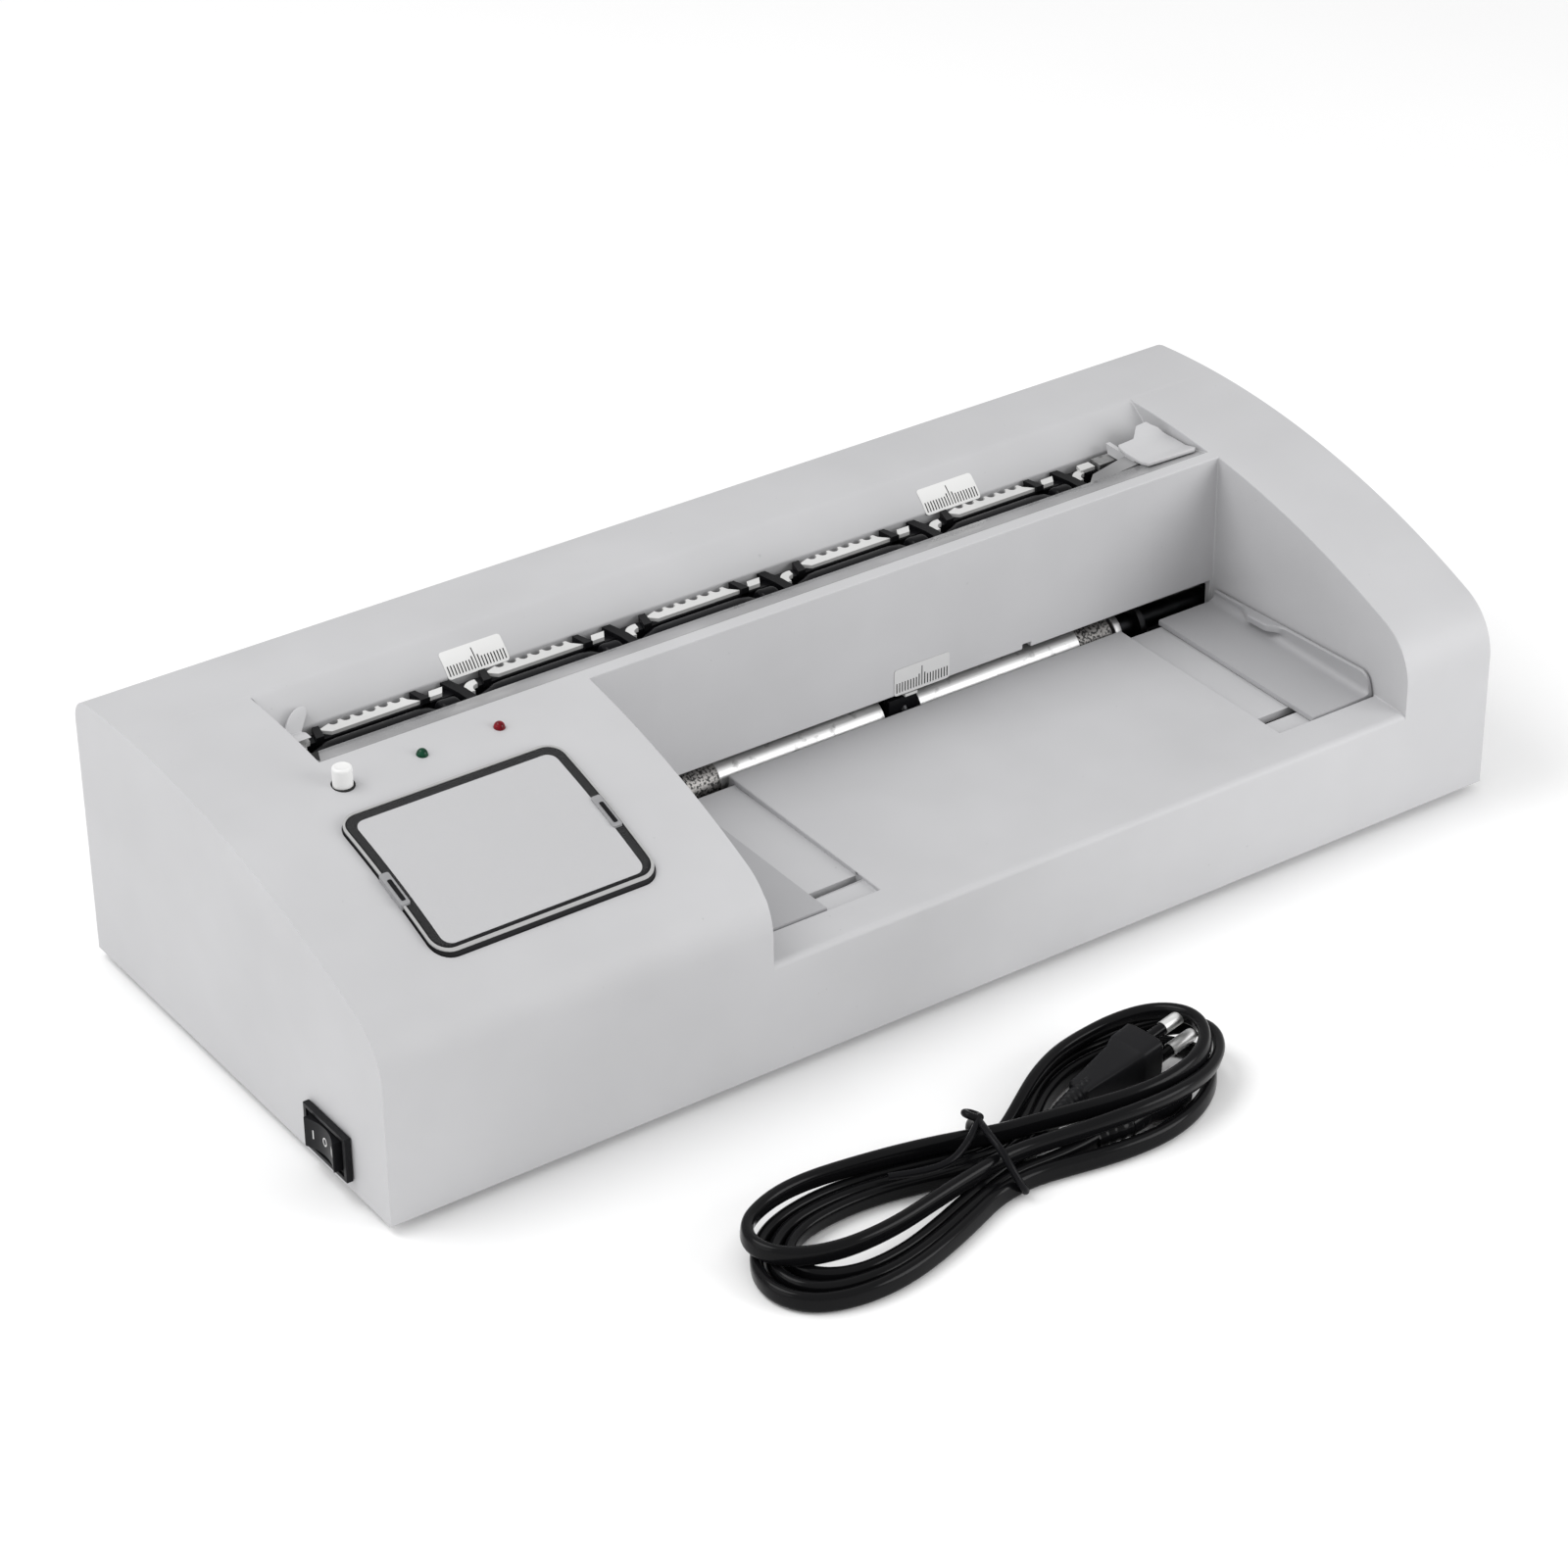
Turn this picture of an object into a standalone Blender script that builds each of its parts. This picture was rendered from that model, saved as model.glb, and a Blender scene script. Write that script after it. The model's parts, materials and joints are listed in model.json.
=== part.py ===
"""Electric A4 card slitter: a moulded housing over two pairs of cutter arbors, with its mains lead.

Lengths are in millimetres, measured from the housing's front left bottom corner: x runs along
the housing, y from front to back, z up. world() turns them into metres on the table's top.
"""
import math

import bmesh
import bpy
from mathutils import Vector

MM = 0.001

# Housing
LENGTH = 381.0
DEPTH = 162.6
FOOT_HEIGHT = 3.0
WALL = 2.5
GAP = 0.3
ROOF_RADIUS = 300.0
ROOF_CENTRE_Y = 130.0
ROOF_TOP = 85.0
FRONT_RADIUS = 19.0
BACK_RADIUS = 8.0
END_RADIUS = 3.0

# Tray for the second cut
TRAY_LEFT = 122.0
TRAY_RIGHT = 348.5
TRAY_LEVEL = 34.4
TRAY_BACK = 89.0
TRAY_LIP_RADIUS = 2.0
PANEL_LEFT = 167.5
PANEL_RIGHT = 312.0
RECESS_FRONT = 14.0
RECESS_DEPTH = 1.5
FEED_TOP = 39.8
FEED_FRONT = 88.3
RECESS_BACK = 85.0
PEG_SLOT_FRONT = 22.2
PEG_SLOT_WIDTH = 3.3
PEG_SLOT_LENGTH = 39.0

# Well for the first cut
WELL_LEFT = 38.0
WELL_RIGHT = 347.5
WELL_FRONT = 93.0
WELL_BACK = 131.0
LIP_EDGE = (101.8, 79.9)
WELL_WALL_EDGE = (119.8, 75.5)
WELL_BOTTOM = 72.5

# Cutter arbors: axis as (y, z)
SLITTER_PITCH = 54.0
SLITTER_FIRST_X = 41.0
SLITTER_COUNT = 6
SLITTER_DISC_RADIUS = 9.0
SLITTER_GEAR_TEETH = 17
CARD_PITCH = 90.0
CARD_FIRST_X = 141.0
CARD_COUNT = 3
CARD_DISC_RADIUS = 8.3
CARD_UPPER_DISC_RADIUS = 8.0
CARD_ROLLER_RADIUS = 7.5
CARD_GEAR_TEETH = 16
TRANSFER_TEETH = 17
DISC_WIDTH = 2.0
SHAFT_RADIUS = 3.5
ARBOR_SIDES = 18
CARD_LOWER_AXIS = (97.0, 29.5)
CARD_UPPER_AXIS = (101.0, 45.0)
SLITTER_FRONT_Y = 104.5
SLITTER_RISE = math.sqrt(TRANSFER_TEETH ** 2 - (SLITTER_FRONT_Y - CARD_UPPER_AXIS[0]) ** 2)
SLITTER_FRONT_AXIS = (SLITTER_FRONT_Y, CARD_UPPER_AXIS[1] + SLITTER_RISE)
SLITTER_BACK_AXIS = (SLITTER_FRONT_AXIS[0] + SLITTER_GEAR_TEETH, SLITTER_FRONT_AXIS[1])

# Gears, module 1
GEAR_WIDTH = 5.0
LEFT_GEAR_X = 20.0
TRANSFER_GEAR_X = 360.0
CARD_GEAR_X = 367.0
TOOTH_HALF = 0.60
TOOTH_SLOPE = math.tan(math.radians(20.0))
ADDENDUM = 0.95
DEDENDUM = 1.25
PINION_TEETH = 12
IDLER_TEETH = 48
MOTOR_AXIS = (53.0, 30.0)
MOTOR_RADIUS = 17.0

# Side frame
LEFT_PLATE_X = 32.0
RIGHT_PLATE_X = 352.0
PLATE_WIDTH = 2.0
BEARING_WIDTH = 3.2

# Back wall
OUTLET_LEFT = 68.0
OUTLET_RIGHT = 345.0
INLET_X = 49.0

# Guides
TRAY_GUIDE_BACK = 86.0
TRAY_FENCE_HEIGHT = 7.0

# Console
BUTTON_AT = (38.6, 81.6)
BUTTON_RADIUS = 3.1
BUTTON_PROUD = 5.7
LED_Y = 82.3
LED_GREEN_X = 63.8
LED_RED_X = 88.4
LED_RADIUS = 1.5
LABEL_LEFT = 28.2
LABEL_RIGHT = 98.4
LABEL_FRONT = 16.4
LABEL_BACK = 69.2
LABEL_CORNER = 6.0
BOARD_LEVEL = 64.0

# Rocker switch in the left wall
SWITCH_Y = 29.2
SWITCH_Z = 11.0
SWITCH_LONG = 21.8
SWITCH_HIGH = 14.0
SWITCH_PROUD = 2.0

# Mains lead, folded and tied in front of the housing
HANK_BOTTOM = 0.3
HANK_TOP = 13.5
PLUG_TAIL = (181.0, -57.5)
PLUG_NOSE = (207.0, -54.0)
CONNECTOR_TAIL = (184.0, -78.0)
CONNECTOR_NOSE = (205.0, -73.0)
TIE_AT = (145.0, -71.2)
TIE_RADIUS = 0.9

HALF_LENGTH = LENGTH / 2
HALF_DEPTH = DEPTH / 2


def world(x, y, z):
    return Vector(((x - HALF_LENGTH) * MM, (y - HALF_DEPTH) * MM, (z + FOOT_HEIGHT) * MM))


for old in list(bpy.data.objects):
    bpy.data.objects.remove(old, do_unlink=True)

parts = bpy.data.collections.new("card_slitter")
cutters = bpy.data.collections.new("cutters")
bpy.context.scene.collection.children.link(parts)
bpy.context.scene.collection.children.link(cutters)


def material(name, colour, roughness, metallic=0.0):
    made = bpy.data.materials.new(name)
    made.use_nodes = True
    shader = made.node_tree.nodes["Principled BSDF"]
    shader.inputs["Base Color"].default_value = (*colour, 1.0)
    shader.inputs["Roughness"].default_value = roughness
    shader.inputs["Metallic"].default_value = metallic
    made.diffuse_color = (*colour, 1.0)
    return made


HOUSING = material("housing_plastic", (0.60, 0.60, 0.61), 0.55)
GUIDE = material("guide_plastic", (0.48, 0.48, 0.49), 0.5)
BLACK = material("black_plastic", (0.012, 0.012, 0.013), 0.35)
WHITE = material("white_plastic", (0.85, 0.85, 0.84), 0.4)
STEEL = material("sheet_steel", (0.52, 0.52, 0.52), 0.35, 1.0)
BLADE = material("blackened_steel", (0.04, 0.04, 0.04), 0.3, 1.0)
ALUMINIUM = material("aluminium", (0.75, 0.75, 0.76), 0.3, 1.0)
NYLON = material("gear_nylon", (0.72, 0.70, 0.62), 0.45)
RUBBER = material("foot_rubber", (0.02, 0.02, 0.02), 0.8)
CLEAR = material("clear_acrylic", (0.9, 0.9, 0.9), 0.08)
PAPER = material("label_card", (0.58, 0.58, 0.59), 0.6)
GREEN = material("green_lens", (0.01, 0.12, 0.05), 0.15)
RED = material("red_lens", (0.25, 0.01, 0.02), 0.15)
BOARD = material("circuit_board", (0.03, 0.16, 0.07), 0.5)
CORD = material("cord_pvc", (0.01, 0.01, 0.01), 0.3)


def add(name, mesh, finish=None, place=(0, 0, 0), turn=(0, 0, 0)):
    """An object from a mesh: a part if it has a finish, else a cutter."""
    made = bpy.data.objects.new(name, mesh)
    made.location = place
    made.rotation_euler = turn
    if finish is None:
        cutters.objects.link(made)
        made.hide_render = True
        made.display_type = "WIRE"
    else:
        parts.objects.link(made)
        mesh.materials.append(finish)
    return made


def smooth(made, degrees=35.0):
    made.data.shade_smooth()
    made.data.set_sharp_from_angle(angle=math.radians(degrees))


def finish_mesh(name, work):
    bmesh.ops.recalc_face_normals(work, faces=work.faces)
    mesh = bpy.data.meshes.new(name)
    work.to_mesh(mesh)
    work.free()
    return mesh


def extruded(name, points, along, finish=None, origin=None, round_ends=0.0):
    """An outline given as points, extruded by the vector along; all in metres."""
    origin = Vector((0, 0, 0)) if origin is None else origin
    work = bmesh.new()
    face = work.faces.new([work.verts.new(point - origin) for point in points])
    grown = bmesh.ops.extrude_face_region(work, geom=[face])["geom"]
    moved = [item for item in grown if isinstance(item, bmesh.types.BMVert)]
    bmesh.ops.translate(work, verts=moved, vec=along)
    if round_ends:
        ends = [edge for edge in work.edges if abs((edge.verts[1].co - edge.verts[0].co).dot(along)) < 1e-9]
        low = min(vert.co.z for vert in work.verts)
        rims = [edge for edge in ends if max(vert.co.z for vert in edge.verts) > low + 1e-6]
        bmesh.ops.bevel(work, geom=rims, offset=round_ends, segments=3, profile=0.5, affect="EDGES")
    return add(name, finish_mesh(name, work), finish, origin)


def prism(name, outline, left, right, finish=None, origin=None, round_ends=0.0):
    """A (y, z) outline from x = left to x = right."""
    points = [world(left, y, z) for y, z in outline]
    return extruded(name, points, Vector(((right - left) * MM, 0, 0)), finish, origin, round_ends)


def slab(name, outline, low, high, finish=None, origin=None):
    """An (x, y) outline from z = low to z = high."""
    points = [world(x, y, low) for x, y in outline]
    return extruded(name, points, Vector((0, 0, (high - low) * MM)), finish, origin)


def box(name, xs, ys, zs, finish=None, bevel=0.0, turn=0.0):
    """A block between two x, two y and two z values, turned about its own upright axis."""
    centre = world(sum(xs) / 2, sum(ys) / 2, sum(zs) / 2)
    size = Vector((xs[1] - xs[0], ys[1] - ys[0], zs[1] - zs[0])) * MM
    work = bmesh.new()
    bmesh.ops.create_cube(work, size=1.0)
    bmesh.ops.scale(work, vec=size, verts=work.verts)
    if bevel:
        edges = list(work.edges)
        bmesh.ops.bevel(work, geom=edges, offset=bevel * MM, segments=2, profile=0.5, affect="EDGES")
    return add(name, finish_mesh(name, work), finish, centre, (0, 0, turn))


TURN = {"X": (0, math.pi / 2, 0), "Y": (-math.pi / 2, 0, 0), "Z": (0, 0, 0)}


def rod(name, axis, centre, radius, length, finish=None, sides=24):
    work = bmesh.new()
    bmesh.ops.create_cone(
        work, cap_ends=True, segments=sides, radius1=radius * MM, radius2=radius * MM, depth=length * MM
    )
    made = add(name, finish_mesh(name, work), finish, world(*centre), TURN[axis])
    smooth(made)
    return made


def turned(name, axis, base, steps, finish, sides=24):
    """A turned piece: steps is a list of (distance along the axis from base, radius) corners."""
    mesh = bpy.data.meshes.new(name)
    corners = [(0.0, steps[-1][0])]
    corners += [(radius, far) for far, radius in reversed(steps)]
    corners.append((0.0, steps[0][0]))
    verts = [(radius * MM, 0.0, far * MM) for radius, far in corners]
    mesh.from_pydata(verts, [(i, i + 1) for i in range(len(verts) - 1)], [])
    made = add(name, mesh, finish, world(*base), TURN[axis])
    screw = made.modifiers.new("turn", "SCREW")
    screw.axis = "Z"
    screw.angle = 2 * math.pi
    screw.steps = sides
    screw.render_steps = sides
    screw.use_merge_vertices = True
    screw.merge_threshold = 0.00001
    screw.use_smooth_shade = False
    return made


def combine(made, other, operation):
    """A Boolean on made: other is another piece, which then counts as a cutter."""
    step = made.modifiers.new(other.name, "BOOLEAN")
    step.operation = operation
    step.object = other
    step.solver = "EXACT"


def cut(made, other):
    combine(made, other, "DIFFERENCE")


def join(made, other):
    combine(made, other, "UNION")


def arc(centre, radius, start, end, steps):
    """Points on an arc, angles in degrees."""
    angles = [math.radians(start + (end - start) * i / steps) for i in range(steps + 1)]
    return [(centre[0] + radius * math.cos(a), centre[1] + radius * math.sin(a)) for a in angles]


def roof_z(y, inset=0.0):
    """The roof's height over y, less an inset."""
    radius = ROOF_RADIUS - inset
    return ROOF_TOP - ROOF_RADIUS + math.sqrt(radius ** 2 - (y - ROOF_CENTRE_Y) ** 2)


def side_outline(inset, bottom):
    """The housing's side profile as (y, z), inset all round and open downwards to bottom."""
    roof = (ROOF_CENTRE_Y, ROOF_TOP - ROOF_RADIUS)
    big = ROOF_RADIUS - inset
    front_radius = FRONT_RADIUS - inset
    back_radius = BACK_RADIUS - inset
    front_y = FRONT_RADIUS
    front_z = roof[1] + math.sqrt((ROOF_RADIUS - FRONT_RADIUS) ** 2 - (front_y - roof[0]) ** 2)
    back_y = DEPTH - BACK_RADIUS
    back_z = roof[1] + math.sqrt((ROOF_RADIUS - BACK_RADIUS) ** 2 - (back_y - roof[0]) ** 2)
    front_turn = math.degrees(math.atan2(front_z - roof[1], front_y - roof[0]))
    back_turn = math.degrees(math.atan2(back_z - roof[1], back_y - roof[0]))
    outline = [(inset, bottom)]
    outline += arc((front_y, front_z), front_radius, 180.0, front_turn, 7)
    outline += arc(roof, big, front_turn, back_turn, 14)[1:-1]
    outline += arc((back_y, back_z), back_radius, back_turn, 0.0, 5)
    outline += [(DEPTH - inset, bottom)]
    return outline


def well_outline(grow, top, bottom):
    """The well's cross section as (y, z), or with grow the same section with its walls."""
    wall_y, wall_z = WELL_WALL_EDGE
    bend = []
    for i in range(7):
        share = i / 6
        rise = math.sin(share * math.pi / 2) ** 0.9
        run = 1 - math.cos(share * math.pi / 2) ** 0.9
        bend.append((wall_y + (WELL_BACK - wall_y) * (0.35 * rise + 0.65 * run),
                     wall_z + (ROOF_TOP - wall_z) * (0.75 * share + 0.25 * rise)))
    front = WELL_FRONT - grow
    lip_y, lip_z = LIP_EDGE
    outline = [(front, top), (front, roof_z(WELL_FRONT) - 0.7 - grow * 1.1)]
    outline += [(lip_y - grow, lip_z - grow * 1.1), (lip_y - grow, bottom), (wall_y + grow, bottom)]
    outline += [(y + grow, z - 0.3 * grow) for y, z in bend]
    outline += [(WELL_BACK + grow, top)]
    return outline


def tray_outline(grow):
    """The tray's cut as (y, z): a rounded front lip, the level floor and the upright back wall."""
    if grow:
        low = TRAY_LEVEL - RECESS_DEPTH - grow
        return [(-5.0, low), (TRAY_BACK + grow, low), (TRAY_BACK + grow, 120.0), (-5.0, 120.0)]
    lip = TRAY_LIP_RADIUS
    outline = [(-5.0, TRAY_LEVEL - lip)]
    outline += arc((lip, TRAY_LEVEL - lip), lip, 180.0, 90.0, 4)
    outline += [(TRAY_BACK, TRAY_LEVEL), (TRAY_BACK, 120.0), (-5.0, 120.0)]
    return outline


def rounded_rectangle(left, right, front, back, radius, steps=5):
    corners = [(right - radius, back - radius, 0.0), (left + radius, back - radius, 90.0),
               (left + radius, front + radius, 180.0), (right - radius, front + radius, 270.0)]
    outline = []
    for x, y, start in corners:
        outline += arc((x, y), radius, start, start + 90.0, steps)
    return outline


def cavity():
    """The hollow under the housing's skin, which leaves the tray's and the well's own walls."""
    hollow = prism("hollow", side_outline(WALL, -5.0), WALL, LENGTH - WALL)
    keep_tray = prism("keep_tray", tray_outline(WALL), TRAY_LEFT - WALL, TRAY_RIGHT + WALL)
    well = well_outline(WALL, 100.0, WELL_BOTTOM)
    keep_well = prism("keep_well", well, WELL_LEFT - WALL, WELL_RIGHT + WALL)
    cut(hollow, keep_tray)
    cut(hollow, keep_well)
    return hollow


POSTS = [(12.0, 14.0), (LENGTH - 12.0, 14.0), (12.0, DEPTH - 16.0), (LENGTH - 12.0, DEPTH - 16.0)]


def top_housing():
    shell = prism("top_housing", side_outline(0.0, 0.0), 0.0, LENGTH, HOUSING, None, END_RADIUS * MM)
    cut(shell, cavity())
    cut(shell, prism("tray_cut", tray_outline(0.0), TRAY_LEFT, TRAY_RIGHT))
    recess_spans = {"recess_left": (TRAY_LEFT - 0.01, PANEL_LEFT),
                    "recess_right": (PANEL_RIGHT, TRAY_RIGHT + 0.01)}
    for name, span in recess_spans.items():
        cut(shell, box(name, span, (RECESS_FRONT, TRAY_BACK + 0.01), (TRAY_LEVEL - RECESS_DEPTH, 50.0)))
    mouth_spans = {"feed_mouth": ((TRAY_LEFT + 2, TRAY_RIGHT - 1), FEED_FRONT),
                   "feed_mouth_left": ((TRAY_LEFT + 2, PANEL_LEFT), RECESS_BACK),
                   "feed_mouth_right": ((PANEL_RIGHT, TRAY_RIGHT - 1), RECESS_BACK)}
    for name, (span, front) in mouth_spans.items():
        cut(shell, box(name, span, (front, TRAY_BACK + 5), (25.0, FEED_TOP)))
    slot = (PEG_SLOT_FRONT, PEG_SLOT_FRONT + PEG_SLOT_WIDTH)
    cut(shell, box("peg_slot_left", (PANEL_LEFT - PEG_SLOT_LENGTH, PANEL_LEFT), slot, (20.0, 40.0)))
    cut(shell, box("peg_slot_right", (PANEL_RIGHT, PANEL_RIGHT + PEG_SLOT_LENGTH - 5.0), slot, (20.0, 40.0)))
    cut(shell, prism("well_cut", well_outline(0.0, 100.0, 60.0), WELL_LEFT, WELL_RIGHT))
    for i, (x, y) in enumerate(POSTS):
        join(shell, rod(f"post_{i}", "Z", (x, y, 3.2 + 22.0), 4.0, 44.0, sides=16))
        rib = (1.0, y) if y < HALF_DEPTH else (y, DEPTH - 1.0)
        join(shell, box(f"rib_{i}", (x - 1, x + 1), rib, (12.0, 46.0)))
        cut(shell, rod(f"pilot_{i}", "Z", (x, y, 8.0), 1.6, 20.0, sides=12))
    button_x, button_y = BUTTON_AT
    cut(shell, rod("button_hole", "Z", (button_x, button_y, 85.0), BUTTON_RADIUS + 0.5, 30.0))
    for name, x in (("green_hole", LED_GREEN_X), ("red_hole", LED_RED_X)):
        cut(shell, rod(name, "Z", (x, LED_Y, 85.0), LED_RADIUS + GAP, 30.0, sides=16))
    cut(shell, label_solid("label_recess", 0.0, 1.2, -6.0))
    beside = (SWITCH_Y - 9.4, SWITCH_Y + 9.4)
    cut(shell, box("switch_hole", (-5, 10), beside, (SWITCH_Z - 6.0, SWITCH_Z + 6.0)))
    through = (DEPTH - 8, DEPTH + 8)
    cut(shell, box("outlet", (OUTLET_LEFT, OUTLET_RIGHT), through, (9.0, 27.0)))
    cut(shell, box("inlet_hole", (INLET_X - 11.3, INLET_X + 11.3), through, (9.7, 25.3)))
    return shell


def label_solid(name, margin, low, high, finish=None):
    """A sheet over the label's place, between two depths under the roof's surface."""
    outline = rounded_rectangle(LABEL_LEFT + margin, LABEL_RIGHT - margin, LABEL_FRONT + margin,
                                LABEL_BACK - margin, LABEL_CORNER - margin)
    sheet = slab(name, outline, 50.0, 100.0, finish)
    roof = (ROOF_CENTRE_Y, ROOF_TOP - ROOF_RADIUS)
    lower = arc(roof, ROOF_RADIUS - low, 118.0, 96.0, 14)
    upper = arc(roof, ROOF_RADIUS - high, 96.0, 118.0, 14)
    combine(sheet, prism(name + "_layer", lower + upper, 0.0, 130.0), "INTERSECT")
    return sheet


def base_parts():
    base = box("base_plate", (2.9, LENGTH - 2.9), (2.9, DEPTH - 2.9), (0.2, 2.7), HOUSING)
    for i, (x, y) in enumerate(POSTS):
        cut(base, rod(f"screw_hole_{i}", "Z", (x, y, 1.0), 1.8, 12.0, sides=16))
    for i in range(6):
        left = 150.0 + 22.0 * i
        cut(base, box(f"vent_{i}", (left, left + 12.0), (60.0, 64.0), (-3.0, 8.0)))
    corners = ("front_left", "front_right", "back_left", "back_right")
    for corner, (x, y) in zip(corners, POSTS):
        inward_x = math.copysign(20.0, HALF_LENGTH - x)
        inward_y = math.copysign(6.0, HALF_DEPTH - y)
        turned(f"foot_{corner}", "Z", (x + inward_x, y + inward_y, -FOOT_HEIGHT),
               [(0.0, 7.0), (2.3, 8.0), (2.9, 8.0)], RUBBER, 20)
        screw = [(0.0, 2.4), (0.8, 3.4), (2.1, 3.4), (2.1, 1.3), (14.0, 1.3)]
        turned(f"screw_{corner}", "Z", (x, y, -2.2), screw, STEEL, 12)


def plate_outline():
    return [(60.0, 3.2), (150.0, 3.2), (150.0, 76.0), (138.0, 76.0), (134.0, 71.0),
            (92.0, 71.0), (60.0, 52.0)]


ARBOR_AXES = (SLITTER_FRONT_AXIS, SLITTER_BACK_AXIS, CARD_UPPER_AXIS, CARD_LOWER_AXIS)


def mesh_phase(phase, teeth, start, end, other_teeth):
    """The turn of a gear at end that meshes with a gear of a known turn at start."""
    direction = math.atan2(end[1] - start[1], end[0] - start[0])
    offset = (phase - direction) % (2 * math.pi / teeth)
    return direction + math.pi - offset * teeth / other_teeth + math.pi / other_teeth


def gear(name, axis, left, teeth, phase, finish, bore):
    """A spur gear of module 1 with straight flanks and play at the pitch circle."""
    pitch = teeth / 2
    foot = pitch - DEDENDUM
    tip = pitch + ADDENDUM
    outline = []
    for i in range(teeth):
        middle = phase + 2 * math.pi * i / teeth
        for radius, side in ((foot, -1), (tip, -1), (tip, 1), (foot, 1)):
            half = (TOOTH_HALF - (radius - pitch) * TOOTH_SLOPE) / radius
            angle = middle + side * half
            outline.append((axis[0] + radius * math.cos(angle), axis[1] + radius * math.sin(angle)))
    made = prism(name, outline, left, left + GEAR_WIDTH, finish, world(left + GEAR_WIDTH / 2, *axis))
    if bore:
        cut(made, rod(name + "_bore", "X", (left + GEAR_WIDTH / 2, *axis), bore, GEAR_WIDTH + 4, sides=14))
    return made


def idler_axis():
    """Where the idler meshes with both the motor's pinion and the front slitter gear."""
    near = (PINION_TEETH + IDLER_TEETH) / 2
    far = (SLITTER_GEAR_TEETH + IDLER_TEETH) / 2
    dy = SLITTER_FRONT_AXIS[0] - MOTOR_AXIS[0]
    dz = SLITTER_FRONT_AXIS[1] - MOTOR_AXIS[1]
    apart = math.hypot(dy, dz)
    along = (near ** 2 - far ** 2 + apart ** 2) / (2 * apart)
    aside = math.sqrt(near ** 2 - along ** 2)
    idler_y = MOTOR_AXIS[0] + (along * dy + aside * dz) / apart
    idler_z = MOTOR_AXIS[1] + (along * dz - aside * dy) / apart
    return (idler_y, idler_z)


IDLER_AXIS = idler_axis()


def drive():
    """The gear motor, the gears of the left side and the gears of the right side."""
    bore = SHAFT_RADIUS + 2 * GAP
    slitter_teeth = SLITTER_GEAR_TEETH
    gear("motor_pinion", MOTOR_AXIS, LEFT_GEAR_X, PINION_TEETH, 0.0, BLADE, 2.3)
    idler_phase = mesh_phase(0.0, PINION_TEETH, MOTOR_AXIS, IDLER_AXIS, IDLER_TEETH)
    gear("idler_gear", IDLER_AXIS, LEFT_GEAR_X, IDLER_TEETH, idler_phase, NYLON, 3.0 + GAP)
    front_phase = mesh_phase(idler_phase, IDLER_TEETH, IDLER_AXIS, SLITTER_FRONT_AXIS, slitter_teeth)
    gear("slitter_gear_front", SLITTER_FRONT_AXIS, LEFT_GEAR_X, slitter_teeth, front_phase, NYLON, bore)
    back_phase = mesh_phase(front_phase, slitter_teeth, SLITTER_FRONT_AXIS, SLITTER_BACK_AXIS, slitter_teeth)
    gear("slitter_gear_back", SLITTER_BACK_AXIS, LEFT_GEAR_X, slitter_teeth, back_phase, NYLON, bore)
    gear("transfer_gear_upper", SLITTER_FRONT_AXIS, TRANSFER_GEAR_X, TRANSFER_TEETH, 0.0, NYLON, bore)
    lower_phase = mesh_phase(0.0, TRANSFER_TEETH, SLITTER_FRONT_AXIS, CARD_UPPER_AXIS, TRANSFER_TEETH)
    gear("transfer_gear_lower", CARD_UPPER_AXIS, TRANSFER_GEAR_X, TRANSFER_TEETH, lower_phase, NYLON, bore)
    gear("card_gear_upper", CARD_UPPER_AXIS, CARD_GEAR_X, CARD_GEAR_TEETH, 0.0, NYLON, bore)
    card_phase = mesh_phase(0.0, CARD_GEAR_TEETH, CARD_UPPER_AXIS, CARD_LOWER_AXIS, CARD_GEAR_TEETH)
    gear("card_gear_lower", CARD_LOWER_AXIS, CARD_GEAR_X, CARD_GEAR_TEETH, card_phase, NYLON, bore)
    inner = LEFT_PLATE_X - LEFT_GEAR_X + 1.7
    axle = [(0.0, 4.5), (1.5, 4.5), (1.5, 3.0), (8.0, 3.0), (8.0, 4.5), (inner, 4.5)]
    turned("idler_axle", "X", (LEFT_GEAR_X - 2.0, *IDLER_AXIS), axle, STEEL, 16)
    can = MOTOR_RADIUS - 1.5
    motor = [(0.0, MOTOR_RADIUS), (22.0, MOTOR_RADIUS), (22.0, can), (58.0, can), (58.0, 5.0), (61.0, 5.0)]
    turned("gear_motor", "X", (LEFT_PLATE_X + PLATE_WIDTH + GAP, *MOTOR_AXIS), motor, STEEL, 20)
    turned("motor_shaft", "X", (LEFT_GEAR_X - 1.0, *MOTOR_AXIS),
           [(0.0, 2.0), (LEFT_PLATE_X + PLATE_WIDTH - LEFT_GEAR_X + 1.0, 2.0)], STEEL, 12)


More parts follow.
